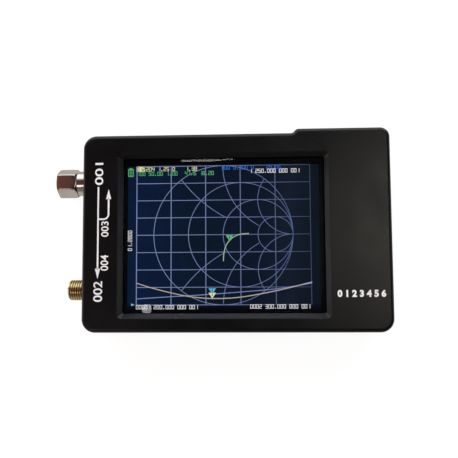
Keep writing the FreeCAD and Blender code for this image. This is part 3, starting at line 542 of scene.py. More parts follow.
def addLamp(name, look):
    data = bpy.data.lights.new(name, "AREA")
    data.shape = "ELLIPSE"
    data.size, data.size_y = look["size"]
    data.color = look["colour"]
    data.energy = look["radiance"] * math.pi * math.pi * data.size * data.size_y / 4
    lamp = addPiece(name, data)
    lamp.location = look["spot"]
    lamp.rotation_euler = (0.0, 0.0, math.radians(look.get("turn", 0.0)))
    lamp.visible_glossy = look.get("mirrored", True)
    lamp.visible_transmission = look.get("mirrored", True)


# A pale floor: white to the camera, with a soft shadow, and greyer where metal mirrors it
floorLook = dict(
    half=1.5, drop=0.02 * mm, paint=0.8, seenPaint=0.22, seenGlow=0.84, mirrorGlow=(0.60, 0.575, 0.545))


def layFloor(look):
    half = look["half"]
    corners = [(-half, -half), (half, -half), (half, half), (-half, half)]
    points = [(x, y, -look["drop"]) for x, y in corners]
    material, tree, _ = startMaterial("floor")
    tree.nodes.remove(tree.nodes["Principled BSDF"])
    rays = addNode(tree, "LightPath")
    seen = rays["Is Camera Ray"].do("MAXIMUM", rays["Is Transmission Ray"])
    plain = addNode(tree, "BsdfDiffuse", {"Color": rgba([look["paint"]] * 3)})
    pale = addNode(tree, "BsdfDiffuse", {"Color": rgba([look["seenPaint"]] * 3)})
    glow = addNode(tree, "Emission", {"Color": rgba([look["seenGlow"]] * 3), "Strength": 1.0})
    mirrored = addNode(tree, "Emission", {"Color": rgba(look["mirrorGlow"]), "Strength": 1.0})
    both = addNode(tree, "AddShader", {0: pale, 1: glow})
    inMetal = addNode(tree, "MixShader", {0: rays["Is Glossy Ray"], 1: plain, 2: mirrored})
    mixed = addNode(tree, "MixShader", {0: seen, 1: inMetal, 2: both})
    feed(tree.nodes["Material Output"].inputs, {"Surface": mixed})
    floor = makeMesh("floor", points, [[0, 1, 2, 3]], material, recalculate=False)


# Camera, fitted to the photograph's edges
viewing = dict(
    framePixels=458, focalPixels=560.0, sensor=36.0, tilt=(-4.306, -2.502, 0.528), aim=(0.0, 0.0, 9.5 * mm),
    aside=(2.31 * mm, -1.53 * mm), distance=173.83 * mm)


def placeCamera(look):
    data = bpy.data.cameras.new("camera")
    data.sensor_fit = "HORIZONTAL"
    data.sensor_width = look["sensor"]
    data.lens = look["sensor"] * look["focalPixels"] / look["framePixels"]
    data.clip_start = 0.01
    turns = [Matrix.Rotation(math.radians(a), 3, axis) for a, axis in zip(look["tilt"], "XYZ")]
    back = (turns[2] @ turns[1] @ turns[0]).transposed()
    offset = back @ Vector((-look["aside"][0], -look["aside"][1], look["distance"]))
    camera = addPiece("camera", data)
    camera.matrix_world = Matrix.LocRotScale(Vector(look["aim"]) + offset, back, None)
    scene.camera = camera


lightWorld(surroundings)
for name, look in lamps.items():
    addLamp(name, look)
layFloor(floorLook)
placeCamera(viewing)
scene.view_settings.view_transform = "Standard"
print("light, floor and camera set")


# Display: lit dots under the touch glass
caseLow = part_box("front_shell")[0]
display = dict(
    fromLeft=13.1 * mm, fromBottom=6.5 * mm, dot=0.18 * mm, across=320, down=240, layer=0.008 * mm,
    plateGap=0.002 * mm, airGap=0.07 * mm)
litLeft = caseLow.x + display["fromLeft"]
litBottom = caseLow.y + display["fromBottom"]
litTop = litBottom + display["dot"] * display["down"]
litRight = litLeft + display["dot"] * display["across"]
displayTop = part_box("display_front_glass")[1].z


def dotPlace(x, y):
    return (litLeft + x * display["dot"], litTop - y * display["dot"])


# Colours of what is lit, at the left, in the middle and at the right: it dims and turns bluer
glowPlaces = (0.0, 0.55, 0.95)
glows = dict(
    grid=((0.28, 0.33, 0.60), (0.19, 0.23, 0.43), (0.048, 0.068, 0.140)),
    chart=((0.31, 0.38, 0.60), (0.20, 0.25, 0.49), (0.08, 0.13, 0.31)),
    warmTrace=((0.50, 0.44, 0.34), (0.56, 0.48, 0.38), (0.50, 0.46, 0.46)),
    coolTrace=((0.26, 0.34, 0.66), (0.24, 0.31, 0.62), (0.20, 0.26, 0.62)),
    paleTrace=((0.40, 0.60, 0.36), (0.40, 0.60, 0.36), (0.36, 0.48, 0.32)),
    white=((0.9, 0.9, 0.9), (0.95, 0.95, 0.95), (0.95, 0.95, 0.95)),
    yellow=((0.85, 0.86, 0.42), (0.85, 0.85, 0.50), (0.85, 0.85, 0.55)),
    green=((0.10, 0.50, 0.16), (0.12, 0.55, 0.22), (0.16, 0.60, 0.30)),
    blue=((0.05, 0.30, 0.85), (0.04, 0.20, 0.75), (0.04, 0.10, 0.65)),
    cyan=((0.25, 0.60, 0.80), (0.10, 0.50, 0.80), (0.10, 0.45, 0.75)),
    dark=((0.01, 0.02, 0.05), (0.01, 0.02, 0.05), (0.01, 0.02, 0.05)),
)


def addBands(value, stops):
    # a colour for each of several places between 0 and 1
    band = addNode(value.tree, "ValToRGB", {"Fac": value})
    elements = band.socket.node.color_ramp.elements
    elements[0].position, elements[0].color = stops[0][0], rgba(stops[0][1])
    elements[1].position, elements[1].color = stops[-1][0], rgba(stops[-1][1])
    for at, colour in stops[1:-1]:
        elements.new(at).color = rgba(colour)
    return band


def startLit(name, darkest, size, blotch):
    # a matt dark surface with grain, and where a point of it lies
    material, tree, surface = startMaterial("lit_" + name, {
        "Base Color": rgba(darkest), "Roughness": 0.6, "Specular IOR Level": 0.0, "Emission Strength": 1.0})
    shade = addGroup(tree, grainTree, Size=size, Blotch=blotch)["Shade"]
    return material, surface, shade, splitUp(placeIn(tree))


def makeGlow(name, look):
    material, surface, shade, parts = startLit(name, (0.002, 0.002, 0.003), 0.0006, 0.009)
    colour = addBands(ramp(parts["X"], litLeft, litRight), list(zip(glowPlaces, look)))
    feed(surface, {"Emission Color": blendColours(shade * 0.12, colour, (0.0, 0.0, 0.0))})
    return material


glow = {name: makeGlow(name, look) for name, look in glows.items()}


# Unlit dots still leak blue light, most at the left side and least along the bottom
backdrop = dict(
    places=[(0.0, (0.0034, 0.0110, 0.0370)), (0.05, (0.0036, 0.0125, 0.0450)),
            (0.16, (0.0034, 0.0115, 0.0390)), (0.32, (0.0030, 0.0100, 0.0260)),
            (0.62, (0.0034, 0.0085, 0.0220)), (0.85, (0.0075, 0.0130, 0.0260)),
            (1.0, (0.0042, 0.0085, 0.0150))],
    bottom=(0.0010, 0.0016, 0.0040), bottomFrom=(2.4 * mm, 0.2 * mm))


def makeBackdrop(look):
    material, surface, shade, parts = startLit("backdrop", (0.001, 0.001, 0.002), 0.0012, 0.012)
    colour = addBands(ramp(parts["X"], litLeft, litRight), look["places"])
    low = ramp(parts["Y"], *(litBottom + y for y in look["bottomFrom"]), smooth=True)
    dimmed = low.do("MAXIMUM", shade * 0.25)
    feed(surface, {"Emission Color": blendColours(dimmed, colour, look["bottom"])})
    return material


def layPlate():
    # the unlit field, and the black mask printed round it
    low = displayTop + display["plateGap"]
    high = low + display["layer"]
    field = ([], [])
    addBox(field, (litLeft, litBottom, low), (litRight, litTop, high))
    place(makeMesh("displayField", *field, makeBackdrop(backdrop)), "case", "display_glass")
    outerLow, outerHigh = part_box("touch_panel")
    mask = ([], [])
    for x0, y0, x1, y1 in ((outerLow.x, outerLow.y, litLeft, outerHigh.y),
                           (litRight, outerLow.y, outerHigh.x, outerHigh.y),
                           (litLeft, outerLow.y, litRight, litBottom),
                           (litLeft, litTop, litRight, outerHigh.y)):
        addBox(mask, (x0, y0, low), (x1, y1, high))
    place(makeMesh("displayMask", *mask, finish["window_mask"]), "case", "display_glass")
    return high


layerTop = layPlate()


def layLit(name, colour, layer, strips=(), prisms=(), width=1.0):
    # strips of (path in dots, closed), and prisms of corners in dots
    low = layerTop + display["layer"] * layer
    high = low + display["layer"] * 0.8
    shape = ([], [])
    for path, closed in strips:
        addStrip(shape, [dotPlace(*p) for p in path], width * display["dot"], low, high, closed)
    for corners in prisms:
        addPrism(shape, [dotPlace(*p) for p in corners], low, high)
    return place(makeMesh(name, *shape, glow[colour]), "case", "display_glass")


# Chart: a square grid with the usual impedance circles over it, in dots
chart = dict(
    left=15, column=58, columns=5, row=29, rows=8, middle=(160, 116), reach=116, gridWidth=1.05,
    chartWidth=0.9)


def layGrid(look):
    right = look["left"] + look["column"] * look["columns"]
    bottom = look["row"] * look["rows"]
    upright = [([(x, 0), (x, bottom)], False) for x in range(look["left"], right + 1, look["column"])]
    level = [([(look["left"], y), (right, y)], False) for y in range(0, bottom + 1, look["row"])]
    layLit("displayGridUpright", "grid", 0, upright, width=look["gridWidth"] * 1.25)
    layLit("displayGridLevel", "grid", 1, level, width=look["gridWidth"])


def layChart(look):
    middleX, middleY = look["middle"]
    reach = look["reach"]
    touch = middleX + reach        # every circle meets here
    strips = [(arcPath(look["middle"], reach, 0, 360, 96)[:-1], True)]
    for share in (0.75, 0.5, 0.25):
        strips.append((arcPath((touch - reach * share, middleY), reach * share, 0, 360, 72)[:-1], True))
    for share, clear in ((0.5, 0.0), (1.0, 0.25), (2.0, 0.5)):
        radius, clearRadius = reach * share, reach * clear
        for side in (-1, 1):
            centre = (touch, middleY + side * radius)
            run = [p for p in arcPath(centre, radius, 90, 270, 180)
                   if math.dist(p, look["middle"]) < reach
                   and math.dist(p, (touch - clearRadius, middleY)) >= clearRadius]
            strips.append((run[::3] + run[-1:], False))
    layLit("displayChart", "chart", 2, strips, width=look["chartWidth"])


layGrid(chart)
layChart(chart)


# Traces and markers, in dots
traces = dict(
    warm=[(15, 195.6), (38, 203.0), (72, 211.8), (104, 218.2), (142, 221.6), (189, 219.4), (248, 209.0),
        (306, 195.2)],
    cool=[(15, 221.9), (72, 218.4), (130, 215.2), (189, 211.0), (248, 206.0), (306, 197.0)],
    pale=[(160.2, 160.2), (161.5, 145.0), (166.0, 132.0), (176.0, 121.0), (188.0, 115.8), (203.0, 114.4)],
)
markers = dict(pale=(170.5, 126.5), cool=(141.6, 214.4), warm=(141.6, 221.6), half=6.2, height=9.5)


def layTraces(look):
    for name, colour, layer, width in (("cool", "coolTrace", 3, 1.2), ("warm", "warmTrace", 4, 1.5),
                                       ("pale", "paleTrace", 5, 1.4)):
        layLit("display" + name.capitalize() + "Trace", colour, layer, [(smoothPath(look[name]), False)],
               width=width)


def layMarkers(look):
    for name, colour in (("pale", "green"), ("cool", "cyan"), ("warm", "yellow")):
        x, y = look[name]
        corners = [(x, y), (x + look["half"], y - look["height"]), (x - look["half"], y - look["height"])]
        layLit("display" + name.capitalize() + "Marker", colour, 6, prisms=[corners])


layTraces(traces)
layMarkers(markers)


# Numbers on the display, each of up to seven strokes
strokes = dict(
    a=((0, 0), (1, 0)), b=((1, 0), (1, 0.5)), c=((1, 0.5), (1, 1)), d=((0, 1), (1, 1)),
    e=((0, 0.5), (0, 1)), f=((0, 0), (0, 0.5)), g=((0, 0.5), (1, 0.5)))
digitStrokes = {"0": "abcdef", "1": "bc", "2": "abged", "3": "abgcd", "4": "fgbc", "5": "afgcd",
                "6": "afgedc", "7": "abc", "8": "abcdefg", "9": "abcdfg"}
digitSize = dict(width=3.2, height=6.0, advance=4.95, stroke=0.78, point=1.5, pointFrom=0.6)


def digitStrips(text, x, y, turned=False):
    strips, prisms = [], []
    wide, tall, half = digitSize["width"], digitSize["height"], digitSize["stroke"] / 2

    def at(px, py):
        return (x + py, y - px) if turned else (x + px, y + py)

    for k, letter in enumerate(text):
        start = k * digitSize["advance"]
        for stroke in digitStrokes.get(letter, ""):
            ends = [[start + atX * wide, atY * tall] for atX, atY in strokes[stroke]]
            along = 0 if ends[0][0] != ends[1][0] else 1
            ends[0][along] -= half * 0.8
            ends[1][along] += half * 0.8
            strips.append(([at(*ends[0]), at(*ends[1])], False))
        if letter == ".":
            low, high = start + digitSize["pointFrom"], tall + half
            far, top = low + digitSize["point"], high - digitSize["point"]
            prisms.append([at(low, top), at(far, top), at(far, high), at(low, high)])
    return strips, prisms


readouts = dict(
    Warm=dict(colour="yellow", texts=[("204 1.25 0", 31.0, 1.6), ("1.38", 98.0, 1.6)]),
    Green=dict(colour="green", texts=[("100 50.00 1.00", 15.5, 9.2), ("47.6 18.20", 96.5, 9.2)]),
    Blue=dict(colour="blue", texts=[("300 0.100 0", 158.5, 0.4), ("24.06", 233.5, 0.4)]),
    White=dict(colour="white", texts=[("1 250.000 000 001", 205.0, 6.6),
        ("00001 200.000 000 001", 15.0, 232.5), ("0002 300.000 000 001", 204.5, 231.9)]),
    Side=dict(colour="white", texts=[("01.2800", 0.8, 141.5)], turned=True),
)
activeBlock = dict(
    corners=[(14.2, 0.2), (29.0, 0.2), (29.0, 8.6), (14.2, 8.6)], text=("012", 15.2, 1.4), stroke=0.9)
markerDigit = dict(top=8.2, bottom=3.6, stroke=1.2)


def layReadouts():
    for name, row in readouts.items():
        strips, prisms = [], []
        for text in row["texts"]:
            newStrips, newPrisms = digitStrips(*text, turned=row.get("turned", False))
            strips += newStrips
            prisms += newPrisms
        layLit("displayNumber" + name, row["colour"], 7, strips, prisms, width=digitSize["stroke"])
    layLit("displayActiveBlock", "yellow", 6, prisms=[activeBlock["corners"]])
    strips, prisms = digitStrips(*activeBlock["text"])
    layLit("displayActiveNumber", "dark", 7, strips, prisms, width=activeBlock["stroke"])
    for name in ("pale", "cool", "warm"):
        x, y = markers[name]
        one = [(x, y - markerDigit["top"]), (x, y - markerDigit["bottom"])]
        layLit("display" + name.capitalize() + "MarkerDigit", "dark", 7, [(one, False)],
               width=markerDigit["stroke"])


# Charge sign: an outline with a tip and bars
chargeSign = dict(left=0.6, right=8.6, top=4.6, bottom=16.4, tip=2.2, bars=4)


def layChargeSign(look):
    left, right, top, bottom = look["left"], look["right"], look["top"], look["bottom"]
    strips = [([(left, top), (right, top), (right, bottom), (left, bottom)], True),
              ([(left + 2, top - look["tip"] + 0.6), (right - 2, top - look["tip"] + 0.6)], False),
              ([(left + 2, top - look["tip"]), (left + 2, top)], False),
              ([(right - 2, top - look["tip"]), (right - 2, top)], False)]
    step = (bottom - top) / (look["bars"] + 0.4)
    for k in range(look["bars"]):
        y = bottom - step * (k + 0.7)
        strips.append(([(left + 1.6, y), (right - 1.6, y)], False))
    layLit("displayChargeSign", "green", 6, strips, width=1.3)
    layLit("displayScaleTick", "cyan", 6, prisms=[[(6.5, 229.4), (12.5, 231.6), (6.5, 233.4)]])


layReadouts()
layChargeSign(chargeSign)
print("display lit")


# Touch glass: a clear plate with ground edges, a breath above the display
glassPlate = dict(edge=0.12 * mm, corner=0.8 * mm)


def layTouchGlass(look):
    low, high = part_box("touch_panel")
    low = Vector((low.x, low.y, low.z + display["airGap"]))
    shape = ([], [])
    corners = []
    for x, y, start in ((high.x, high.y, 0), (low.x, high.y, 90), (low.x, low.y, 180), (high.x, low.y, 270)):
        inX = x - math.copysign(look["corner"], x)
        inY = y - math.copysign(look["corner"], y)
        corners += arcPath((inX, inY), look["corner"], start, start + 90, 6)
    addPrism(shape, corners, low.z, high.z)
    plate = makeMesh("touchGlass", *shape, finish["touch_glass"])
    roundEdges(plate, look["edge"], 2, 60)
    place(plate, "case", "touch_glass", "touch_panel")


layTouchGlass(glassPlate)


# White print on the front: a line from socket to socket with a branch, and plain numbers
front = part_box("front_shell")[1].z
printing = dict(
    thick=0.02 * mm, lineX=-40.82 * mm, lineTop=13.75 * mm, lineBottom=-13.55 * mm, line=0.48 * mm,
    branchX=-37.7 * mm, branchY=4.1 * mm, branchTop=13.1 * mm, branchLine=0.5 * mm, branchCorner=1.5 * mm,
    head=(0.76 * mm, 3.0 * mm))


def layPrint(look):
    low, high = front, front + look["thick"]
    halfHead, headLength = look["head"]
    shape = ([], [])
    x, bottom = look["lineX"], look["lineBottom"]
    addStrip(shape, [(x, look["lineTop"]), (x, bottom + headLength * 0.9)], look["line"], low, high)
    addPrism(shape, [(x - halfHead, bottom + headLength), (x, bottom), (x + halfHead, bottom + headLength)],
             low, high)
    x, top, y, corner = look["branchX"], look["branchTop"], look["branchY"], look["branchCorner"]
    bend = arcPath((x - corner, y + corner), corner, -90, 0, 8)
    path = [(look["lineX"] + look["line"] / 2, y)] + bend + [(x, top - headLength * 0.9)]
    addStrip(shape, path, look["branchLine"], low, high)
    addPrism(shape, [(x - halfHead, top - headLength), (x + halfHead, top - headLength), (x, top)], low, high)
    place(makeMesh("printedArrows", *shape, finish["white_print"]), "case", "white_plastic")


numerals = dict(
    printedPortOne=dict(text="001", low=(-41.85, 14.35), high=(-39.4, 21.05)),
    printedPortTwo=dict(text="002", low=(-42.0, -20.3), high=(-39.35, -14.25)),
    printedWayOne=dict(text="003", low=(-39.85, -1.15), high=(-37.65, 3.45)),
    printedWayTwo=dict(text="004", low=(-39.95, -11.15), high=(-37.65, -6.55)),
)


def layNumeral(name, text, low, high, turned=True, bold=0.012):
    # text fitted to a box on the front, read upwards where it is turned
    curve = bpy.data.curves.new(name, "FONT")
    curve.body = text
    curve.extrude = 0.05
    curve.offset = bold
    curve.resolution_u = 6
    holder = addPiece(name, curve)
    data = plainMesh(holder)
    bpy.data.objects.remove(holder)
    if turned:
        data.transform(Matrix.Rotation(math.pi / 2, 4, "Z"))
    xs, ys, zs = zip(*[v.co for v in data.vertices])
    low, high = Vector((*low, 0)) * mm, Vector((*high, 0)) * mm
    if not turned:
        spare = (high.x - low.x) - (high.y - low.y) * (max(xs) - min(xs)) / (max(ys) - min(ys))
        low.x, high.x = low.x + spare / 2, high.x - spare / 2
    for vertex in data.vertices:
        x, y, z = vertex.co
        vertex.co = (low.x + (x - min(xs)) / (max(xs) - min(xs)) * (high.x - low.x),
                     low.y + (y - min(ys)) / (max(ys) - min(ys)) * (high.y - low.y),
                     front + (z - min(zs)) / (max(zs) - min(zs)) * printing["thick"])
    data.materials.clear()
    data.materials.append(finish["white_print"])
    return place(addPiece(name, data), "case", "white_plastic")


layPrint(printing)
for name, look in numerals.items():
    layNumeral(name, **look)


# A row of plain digits stands where the front has room for a name
scale = dict(left=29.2, right=43.5, low=-19.15, high=-17.1, digits=7, digitWidth=1.75, bold=0.05)


def layScale(look):
    gap = (look["right"] - look["left"] - look["digitWidth"]) / (look["digits"] - 1)
    for k in range(look["digits"]):
        left = look["left"] + k * gap
        layNumeral(f"printedScale{k}", str(k), (left, look["low"]), (left + look["digitWidth"], look["high"]),
                   turned=False, bold=look["bold"])


layScale(scale)
print("front printed")


# Radio sockets: a threaded barrel, a square flange behind the wall, and a contact of four fingers
socket = dict(
    pitch=25.4 / 36 * mm, depth=0.42 * mm, crest=0.16, mouthRadius=2.72 * mm, outer=3.175 * mm,
    bore=2.3 * mm, neck=0.3 * mm, rowsPerTurn=12, columns=72, fromEnd=0.3 * mm, flange=1.7 * mm,
    leg=0.9 * mm, flangeEdge=0.08 * mm, fingerGap=9.0, hole=0.47 * mm, holeDepth=2.6 * mm,
    contact=0.635 * mm, tail=0.25 * mm, lip=0.12 * mm)
wallSide = caseLow.x - 0.2 * mm
boardLow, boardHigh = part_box("main_board")


def mixValues(share, first, second):
    return addNode(share.tree, "Mix", {0: share, 2: first, 3: second}, data_type="FLOAT")


def makeThreadTree():
    # a closed barrel whose outer wall is a right-hand screw thread, from x = 0 to x = -Length
    tree, given, result = startTree("screw thread", "GeometryNodeTree", {
        "Length": 0.006, "Pitch": 0.0007, "Outer Radius": 0.0032, "Depth": 0.0004, "Crest": 0.16,
        "Bore Radius": 0.0023, "Mouth Radius": 0.0027, "Columns": 72, "Rows Per Turn": 12,
        "Centre": (0.0, 0.0, 0.0), "Material": "Material"}, {"Geometry": "Geometry"})
    length, pitch, crest, perTurn = (given[name] for name in ("Length", "Pitch", "Crest", "Rows Per Turn"))
    turns = (length / pitch + 1.0).do("CEIL")
    helixRows = turns * perTurn + 1.0
    rows = helixRows + 3.0
    grid = addNode(tree, "GeometryNodeMeshGrid", {
        "Size X": 1.0, "Size Y": 1.0, "Vertices X": given["Columns"] + 1.0, "Vertices Y": rows})
    spot = splitUp(addNode(tree, "GeometryNodeInputPosition"))
    around = spot["X"] + 0.5
    row = ((spot["Y"] + 0.5) * (rows - 1.0)).do("ROUND")
    climb = (row - 1.0) / perTurn
    along = ((climb + around - 1.0) * pitch).do("MAXIMUM", 0.0).do("MINIMUM", length)
    phase = (along / pitch - around + 8.0001).do("FRACT")
    peak = 1.0 - (phase * 2.0 - 1.0).do("ABSOLUTE")
    root = given["Outer Radius"] - given["Depth"]
    thread = ramp(peak, crest, 1.0 - crest).do("MULTIPLY_ADD", given["Depth"], root)
    slant = given["Mouth Radius"] + (length - along)
    firstInner = row.do("LESS_THAN", 0.5)
    lastInner = row.do("GREATER_THAN", helixRows + 0.5)
    back = row.do("GREATER_THAN", helixRows + 1.5)
    inner = firstInner.do("MAXIMUM", lastInner)
    radius = mixValues(inner, thread.do("MINIMUM", slant), given["Bore Radius"])
    outerReach = along * (1.0 - firstInner.do("MAXIMUM", back))
    reach = mixValues(lastInner - back, outerReach, length)
    angle = around * (2 * math.pi)
    moved = addNode(tree, "CombineXYZ", {
        "X": reach * -1.0, "Y": radius * angle.do("COSINE"), "Z": radius * angle.do("SINE")})
    placed = addNode(tree, "VectorMath", {0: moved, 1: given["Centre"]}, operation="ADD")
    shaped = addNode(tree, "GeometryNodeSetPosition", {"Geometry": grid, "Position": placed})
    welded = addNode(tree, "GeometryNodeMergeByDistance", {"Geometry": shaped, "Distance": 2e-6})
    endTree(given, result, welded)
    return tree


threadTree = makeThreadTree()


def tidyMesh(piece, sharp):
    # welded, with faces outwards
    shape = bmesh.new()
    shape.from_mesh(piece.data)
    bmesh.ops.dissolve_degenerate(shape, dist=1e-7, edges=shape.edges)
    bmesh.ops.recalc_face_normals(shape, faces=shape.faces)
    shape.to_mesh(piece.data)
    shape.free()
    smoothShade(piece.data, sharp)
    return piece


def layBarrel(name, low, centre, look):
    return tidyMesh(grow(threadTree, name + "Thread", {
        "Length": wallSide - low.x - look["fromEnd"], "Pitch": look["pitch"], "Outer Radius": look["outer"],
        "Depth": look["depth"], "Crest": look["crest"], "Bore Radius": look["bore"],
        "Mouth Radius": look["mouthRadius"], "Columns": look["columns"], "Rows Per Turn": look["rowsPerTurn"],
        "Centre": (wallSide, centre.y, centre.z)}, finish["gold_plate"]), 38)


def layFlange(name, node, centre, look):
    # neck in the wall's hole, flange, and four legs that straddle the board
    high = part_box(node)[1]
    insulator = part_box(node.replace("body", "insulator"))
    seat = insulator[0].x
    core = (insulator[1].y - insulator[0].y) / 2
    boardLeft = boardLow.x
    flangeLeft = boardLeft - look["flange"]
    half, leg = look["outer"], look["leg"]
    neck = half - look["neck"]

    def square(radius, angle):
        return radius if radius < half else half / max(abs(math.cos(angle)), abs(math.sin(angle)))

    shape = ([], [])
    addTurned(shape, [(wallSide, look["bore"]), (wallSide, neck), (flangeLeft, neck), (flangeLeft, core),
                      (seat, core), (seat, look["bore"])], centre, 64, loop=True)
    blocks = ([], [])
    addTurned(blocks, [(flangeLeft, half), (boardLeft, half), (boardLeft, core), (flangeLeft, core)],
              centre, 64, loop=True, limit=square)
    for side in (-1, 1):
        edge = centre.y + side * (half - leg / 2)
        for z in (boardHigh.z, boardLow.z - leg):
            addBox(blocks, (boardLeft, edge - leg / 2, z), (high.x, edge + leg / 2, z + leg))
    neckPiece = makeMesh(name + "Neck", *shape, finish["gold_plate"])
    flangePiece = makeMesh(name + "Flange", *blocks, finish["gold_plate"])
    return neckPiece, roundEdges(flangePiece, look["flangeEdge"], 2, 50)


def layContact(name, node, centre, look):
    low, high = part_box(node)
    x0, x1 = low.x, low.x + look["holeDepth"]
    hole, outer, lip, tail = look["hole"], look["contact"], look["lip"], look["tail"]
    shape = ([], [])
    loop = [(x0, hole + lip), (x0, outer - lip * 0.4), (x0 + lip, outer), (x1, outer), (x1, hole),
            (x0 + lip, hole)]
    for k in range(4):
        start = 90 * k + 45 + look["fingerGap"] / 2
        addTurned(shape, loop, centre, 8, loop=True, sweep=(start, start + 90 - look["fingerGap"]))
    addTurned(shape, [(x1, 0), (x1, outer), (boardLow.x, outer), (boardLow.x, tail), (high.x, tail),
                      (high.x, 0)], centre, 32)
    return makeMesh(name + "Contact", *shape, finish["gold_plate"])


for number in (1, 2):
    name, node = f"socket{number}", f"socket_{number}_body"
    centre = centreOf(f"socket_{number}_insulator")
    barrel = layBarrel(name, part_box(node)[0], centre, socket)
    neckPiece, flangePiece = layFlange(name, node, centre, socket)
    place(barrel, "case", "gold_plate", node)
    place(neckPiece, "case", "gold_plate")
    place(flangePiece, "case", "gold_plate")
    contact = layContact(name, f"socket_{number}_contact", centre, socket)
    place(contact, "case", "gold_plate", f"socket_{number}_contact")
print("sockets made")


# Termination nut: a round skirt and a hexagon, every edge softened by its formula
nut = dict(
    flat=4.0 * mm, skirt=3.845 * mm, skirtLength=3.25 * mm, chamfer=0.72 * mm, bore=3.225 * mm,
    endChamfer=0.22 * mm, edge=0.14 * mm, softness=36, steps=240)


def makeNut(look):
    low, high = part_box("termination_nut")
    centre = centreOf("termination_nut")
    corner = look["flat"] / math.cos(math.pi / 6)
    edge, chamfer, endChamfer, skirt = look["edge"], look["chamfer"], look["endChamfer"], look["skirt"]
    hexStart = high.x - look["skirtLength"]
    power = look["softness"]

    def limit(radius, angle):
        # the cone and the six flats, blended so that every edge is soft
        if radius <= skirt:
            return radius
        total = radius ** -power
        for k in range(6):
            facing = math.cos(angle - math.pi / 2 - k * math.pi / 3)
            if facing > 0:
                total += (facing / look["flat"]) ** power
        return total ** (-1 / power)

    outline = [(high.x, look["bore"] + edge * 0.6), (high.x, skirt - edge),
               (high.x - edge * 0.3, skirt - edge * 0.3), (high.x - edge, skirt)]
    outline += [(high.x - edge - (look["skirtLength"] - edge) * k / 6, skirt) for k in range(1, 7)]
    outline += [(hexStart, corner - chamfer)]
    outline += [(hexStart - chamfer * k / 8, corner - chamfer + chamfer * k / 8) for k in range(1, 9)]
    straight = hexStart - chamfer - (low.x + endChamfer)
    pastFlats = corner + look["skirtLength"]       # wide enough for the flats alone to bound it
    outline += [(hexStart - chamfer - straight * k / 6, pastFlats) for k in range(1, 6)]
    outline += [(low.x + endChamfer - endChamfer * k / 4, corner - endChamfer * k / 4) for k in range(0, 5)]
    outline += [(low.x, look["bore"] + edge * 0.4), (low.x + edge * 0.4, look["bore"]),
                (high.x - edge * 0.6, look["bore"])]
    shape = ([], [])
    addTurned(shape, outline, centre, look["steps"], loop=True, limit=limit)
    piece = makeMesh("terminationNut", *shape, finish["nickel_plate"], sharp=28)
    return place(piece, "termination_nut", "nickel_plate", "termination_nut")


makeNut(nut)
print("nut made")


# Case screws: round heads with a cross recess, one mesh set on the four bosses
screw = dict(
    head=1.9 * mm, headHeight=1.3 * mm, shank=1.0 * mm, slot=(2.2 * mm, 0.42 * mm, 0.75 * mm),
    pitch=0.45 * mm, groove=0.16 * mm, plain=1.2 * mm, tip=0.6 * mm, seed=7)


def makeScrewMesh(look):
    # stands on its head at z = 0, shank up
    low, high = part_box("case_screws")
    length = high.z - low.z
    head, shank, height = look["head"], look["shank"], look["headHeight"]
    crown = [(height * 0.62 * (1 - math.cos(t)), head * math.sin(t) ** 0.8)
             for t in (math.radians(a) for a in range(10, 91, 10))]
    outline = [(0, 0)] + crown + [(height, head), (height, shank)]
    thread = height + look["pitch"]
    while thread < length - look["plain"]:
        outline += [(thread, shank - look["groove"]), (thread + look["pitch"] / 2, shank)]
        thread += look["pitch"]
    outline += [(length - look["tip"], shank * 0.7), (length, 0)]
    shape = ([], [])
    addTurned(shape, outline, Vector((0, 0, 0)), 32)
    points = [(z, y, x) for x, y, z in shape[0]]
    blank = makeMesh("screwBlank", points, shape[1], finish["screw_steel"])
    slotLength, slotWidth, slotDepth = look["slot"]
    cross = ([], [])
    for wide, deep in ((slotLength, slotWidth), (slotWidth, slotLength)):
        addBox(cross, (-wide / 2, -deep / 2, -slotDepth), (wide / 2, deep / 2, slotDepth))
    cutter = makeMesh("screwCutter", *cross, finish["screw_steel"])
    cut = blank.modifiers.new("cross", "BOOLEAN")
    cut.operation = "DIFFERENCE"
    cut.solver = "EXACT"
    cut.use_self = True
    cut.object = cutter
    bakeModifiers(blank)
    bpy.data.objects.remove(cutter)
    return blank


def makeScrewTree():
    tree, given, result = startTree("screw set", "GeometryNodeTree", {
        "Screw": "Object", "Across": 0.078, "Up": 0.048, "Height": 0.001, "Seed": 7, "Material": "Material"},
        {"Geometry": "Geometry"})
    grid = addNode(tree, "GeometryNodeMeshGrid", {"Size X": given["Across"], "Size Y": given["Up"],
                                                  "Vertices X": 2, "Vertices Y": 2})
    lift = addNode(tree, "CombineXYZ", {"Z": given["Height"]})
    moved = addNode(tree, "GeometryNodeSetPosition", {"Geometry": grid, "Offset": lift})
    one = addNode(tree, "GeometryNodeObjectInfo", {"Object": given["Screw"]})["Geometry"]
    turn = addNode(tree, "FunctionNodeRandomValue", {"Seed": given["Seed"]}, data_type="FLOAT")[1]
    rotation = addNode(tree, "CombineXYZ", {"Z": turn * (math.pi / 2)})
    endTree(given, result, addNode(tree, "GeometryNodeInstanceOnPoints", {
        "Points": moved, "Instance": one, "Rotation": rotation}))
    return tree


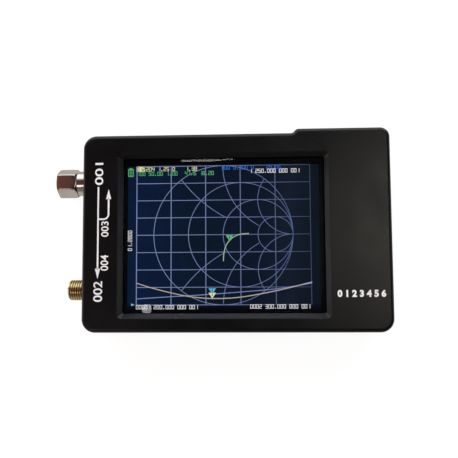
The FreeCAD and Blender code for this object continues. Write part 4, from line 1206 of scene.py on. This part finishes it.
def layScrews(look):
    one = makeScrewMesh(look)
    low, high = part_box("case_screws")
    across, up = high.x - low.x - 2 * look["head"], high.y - low.y - 2 * look["head"]
    screws = grow(makeScrewTree(), "caseScrews", {"Screw": one, "Across": across, "Up": up, "Height": low.z,
                                                  "Seed": look["seed"]}, finish["screw_steel"])
    bpy.data.objects.remove(one)
    place(screws, "case", "screw_steel", "case_screws")


layScrews(screw)
print("screws set")

# Rows of small bars, in millimetres: grip ribs on the lever and the switch knob, and the contact pads
# of the charging tongue
tonguePads = dict(
    node="usb_tongue", body="case", finish="gold_plate", count=12, step=(0.0, 0.5, 0.0),
    size=(2.4, 0.27, 0.06), inward=1.5)
barRows = dict(
    leverRibs=dict(node="lever", body="lever", finish="black_plastic", count=4, step=(0.7, 0.0, 0.0),
        size=(0.26, 0.16, 1.5), rise=0.0),
    knobRibs=dict(node="switch_knob", body="power_knob", finish="black_plastic", count=3,
        step=(0.36, 0.0, 0.0), size=(0.16, 0.16, 0.7), rise=0.0),
    tonguePadsUpper=dict(**tonguePads, rise=0.35),
    tonguePadsLower=dict(**tonguePads, rise=-0.35),
)


def makeRowTree():
    tree, given, result = startTree("bar row", "GeometryNodeTree", {
        "Count": 3, "Step": (0.001, 0.0, 0.0), "Start": (0.0, 0.0, 0.0), "Bar Size": (0.0002, 0.0002, 0.001),
        "Material": "Material"}, {"Geometry": "Geometry"})
    line = addNode(tree, "GeometryNodeMeshLine", {"Count": given["Count"], "Start Location": given["Start"],
                                                  "Offset": given["Step"]})
    bar = addNode(tree, "GeometryNodeMeshCube", {"Size": given["Bar Size"]})
    endTree(given, result, addNode(tree, "GeometryNodeInstanceOnPoints", {"Points": line, "Instance": bar}))
    return tree


rowTree = makeRowTree()


def layBars(name, look):
    # on the outer face of a part in the top edge, or along the tongue in the right side
    low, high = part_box(look["node"])
    middle = (low + high) / 2
    if look["step"][0]:
        middle.y = high.y
    else:
        middle.x = high.x - look["inward"] * mm
    middle.z += look["rise"] * mm
    step = Vector(look["step"]) * mm
    start = middle - step * (look["count"] - 1) / 2
    bars = grow(rowTree, name, {"Count": look["count"], "Step": tuple(step), "Start": tuple(start),
                                "Bar Size": tuple(c * mm for c in look["size"])}, finish[look["finish"]])
    place(bars, look["body"], look["finish"])


for name, look in barRows.items():
    layBars(name, look)
print("ribs and pads laid")
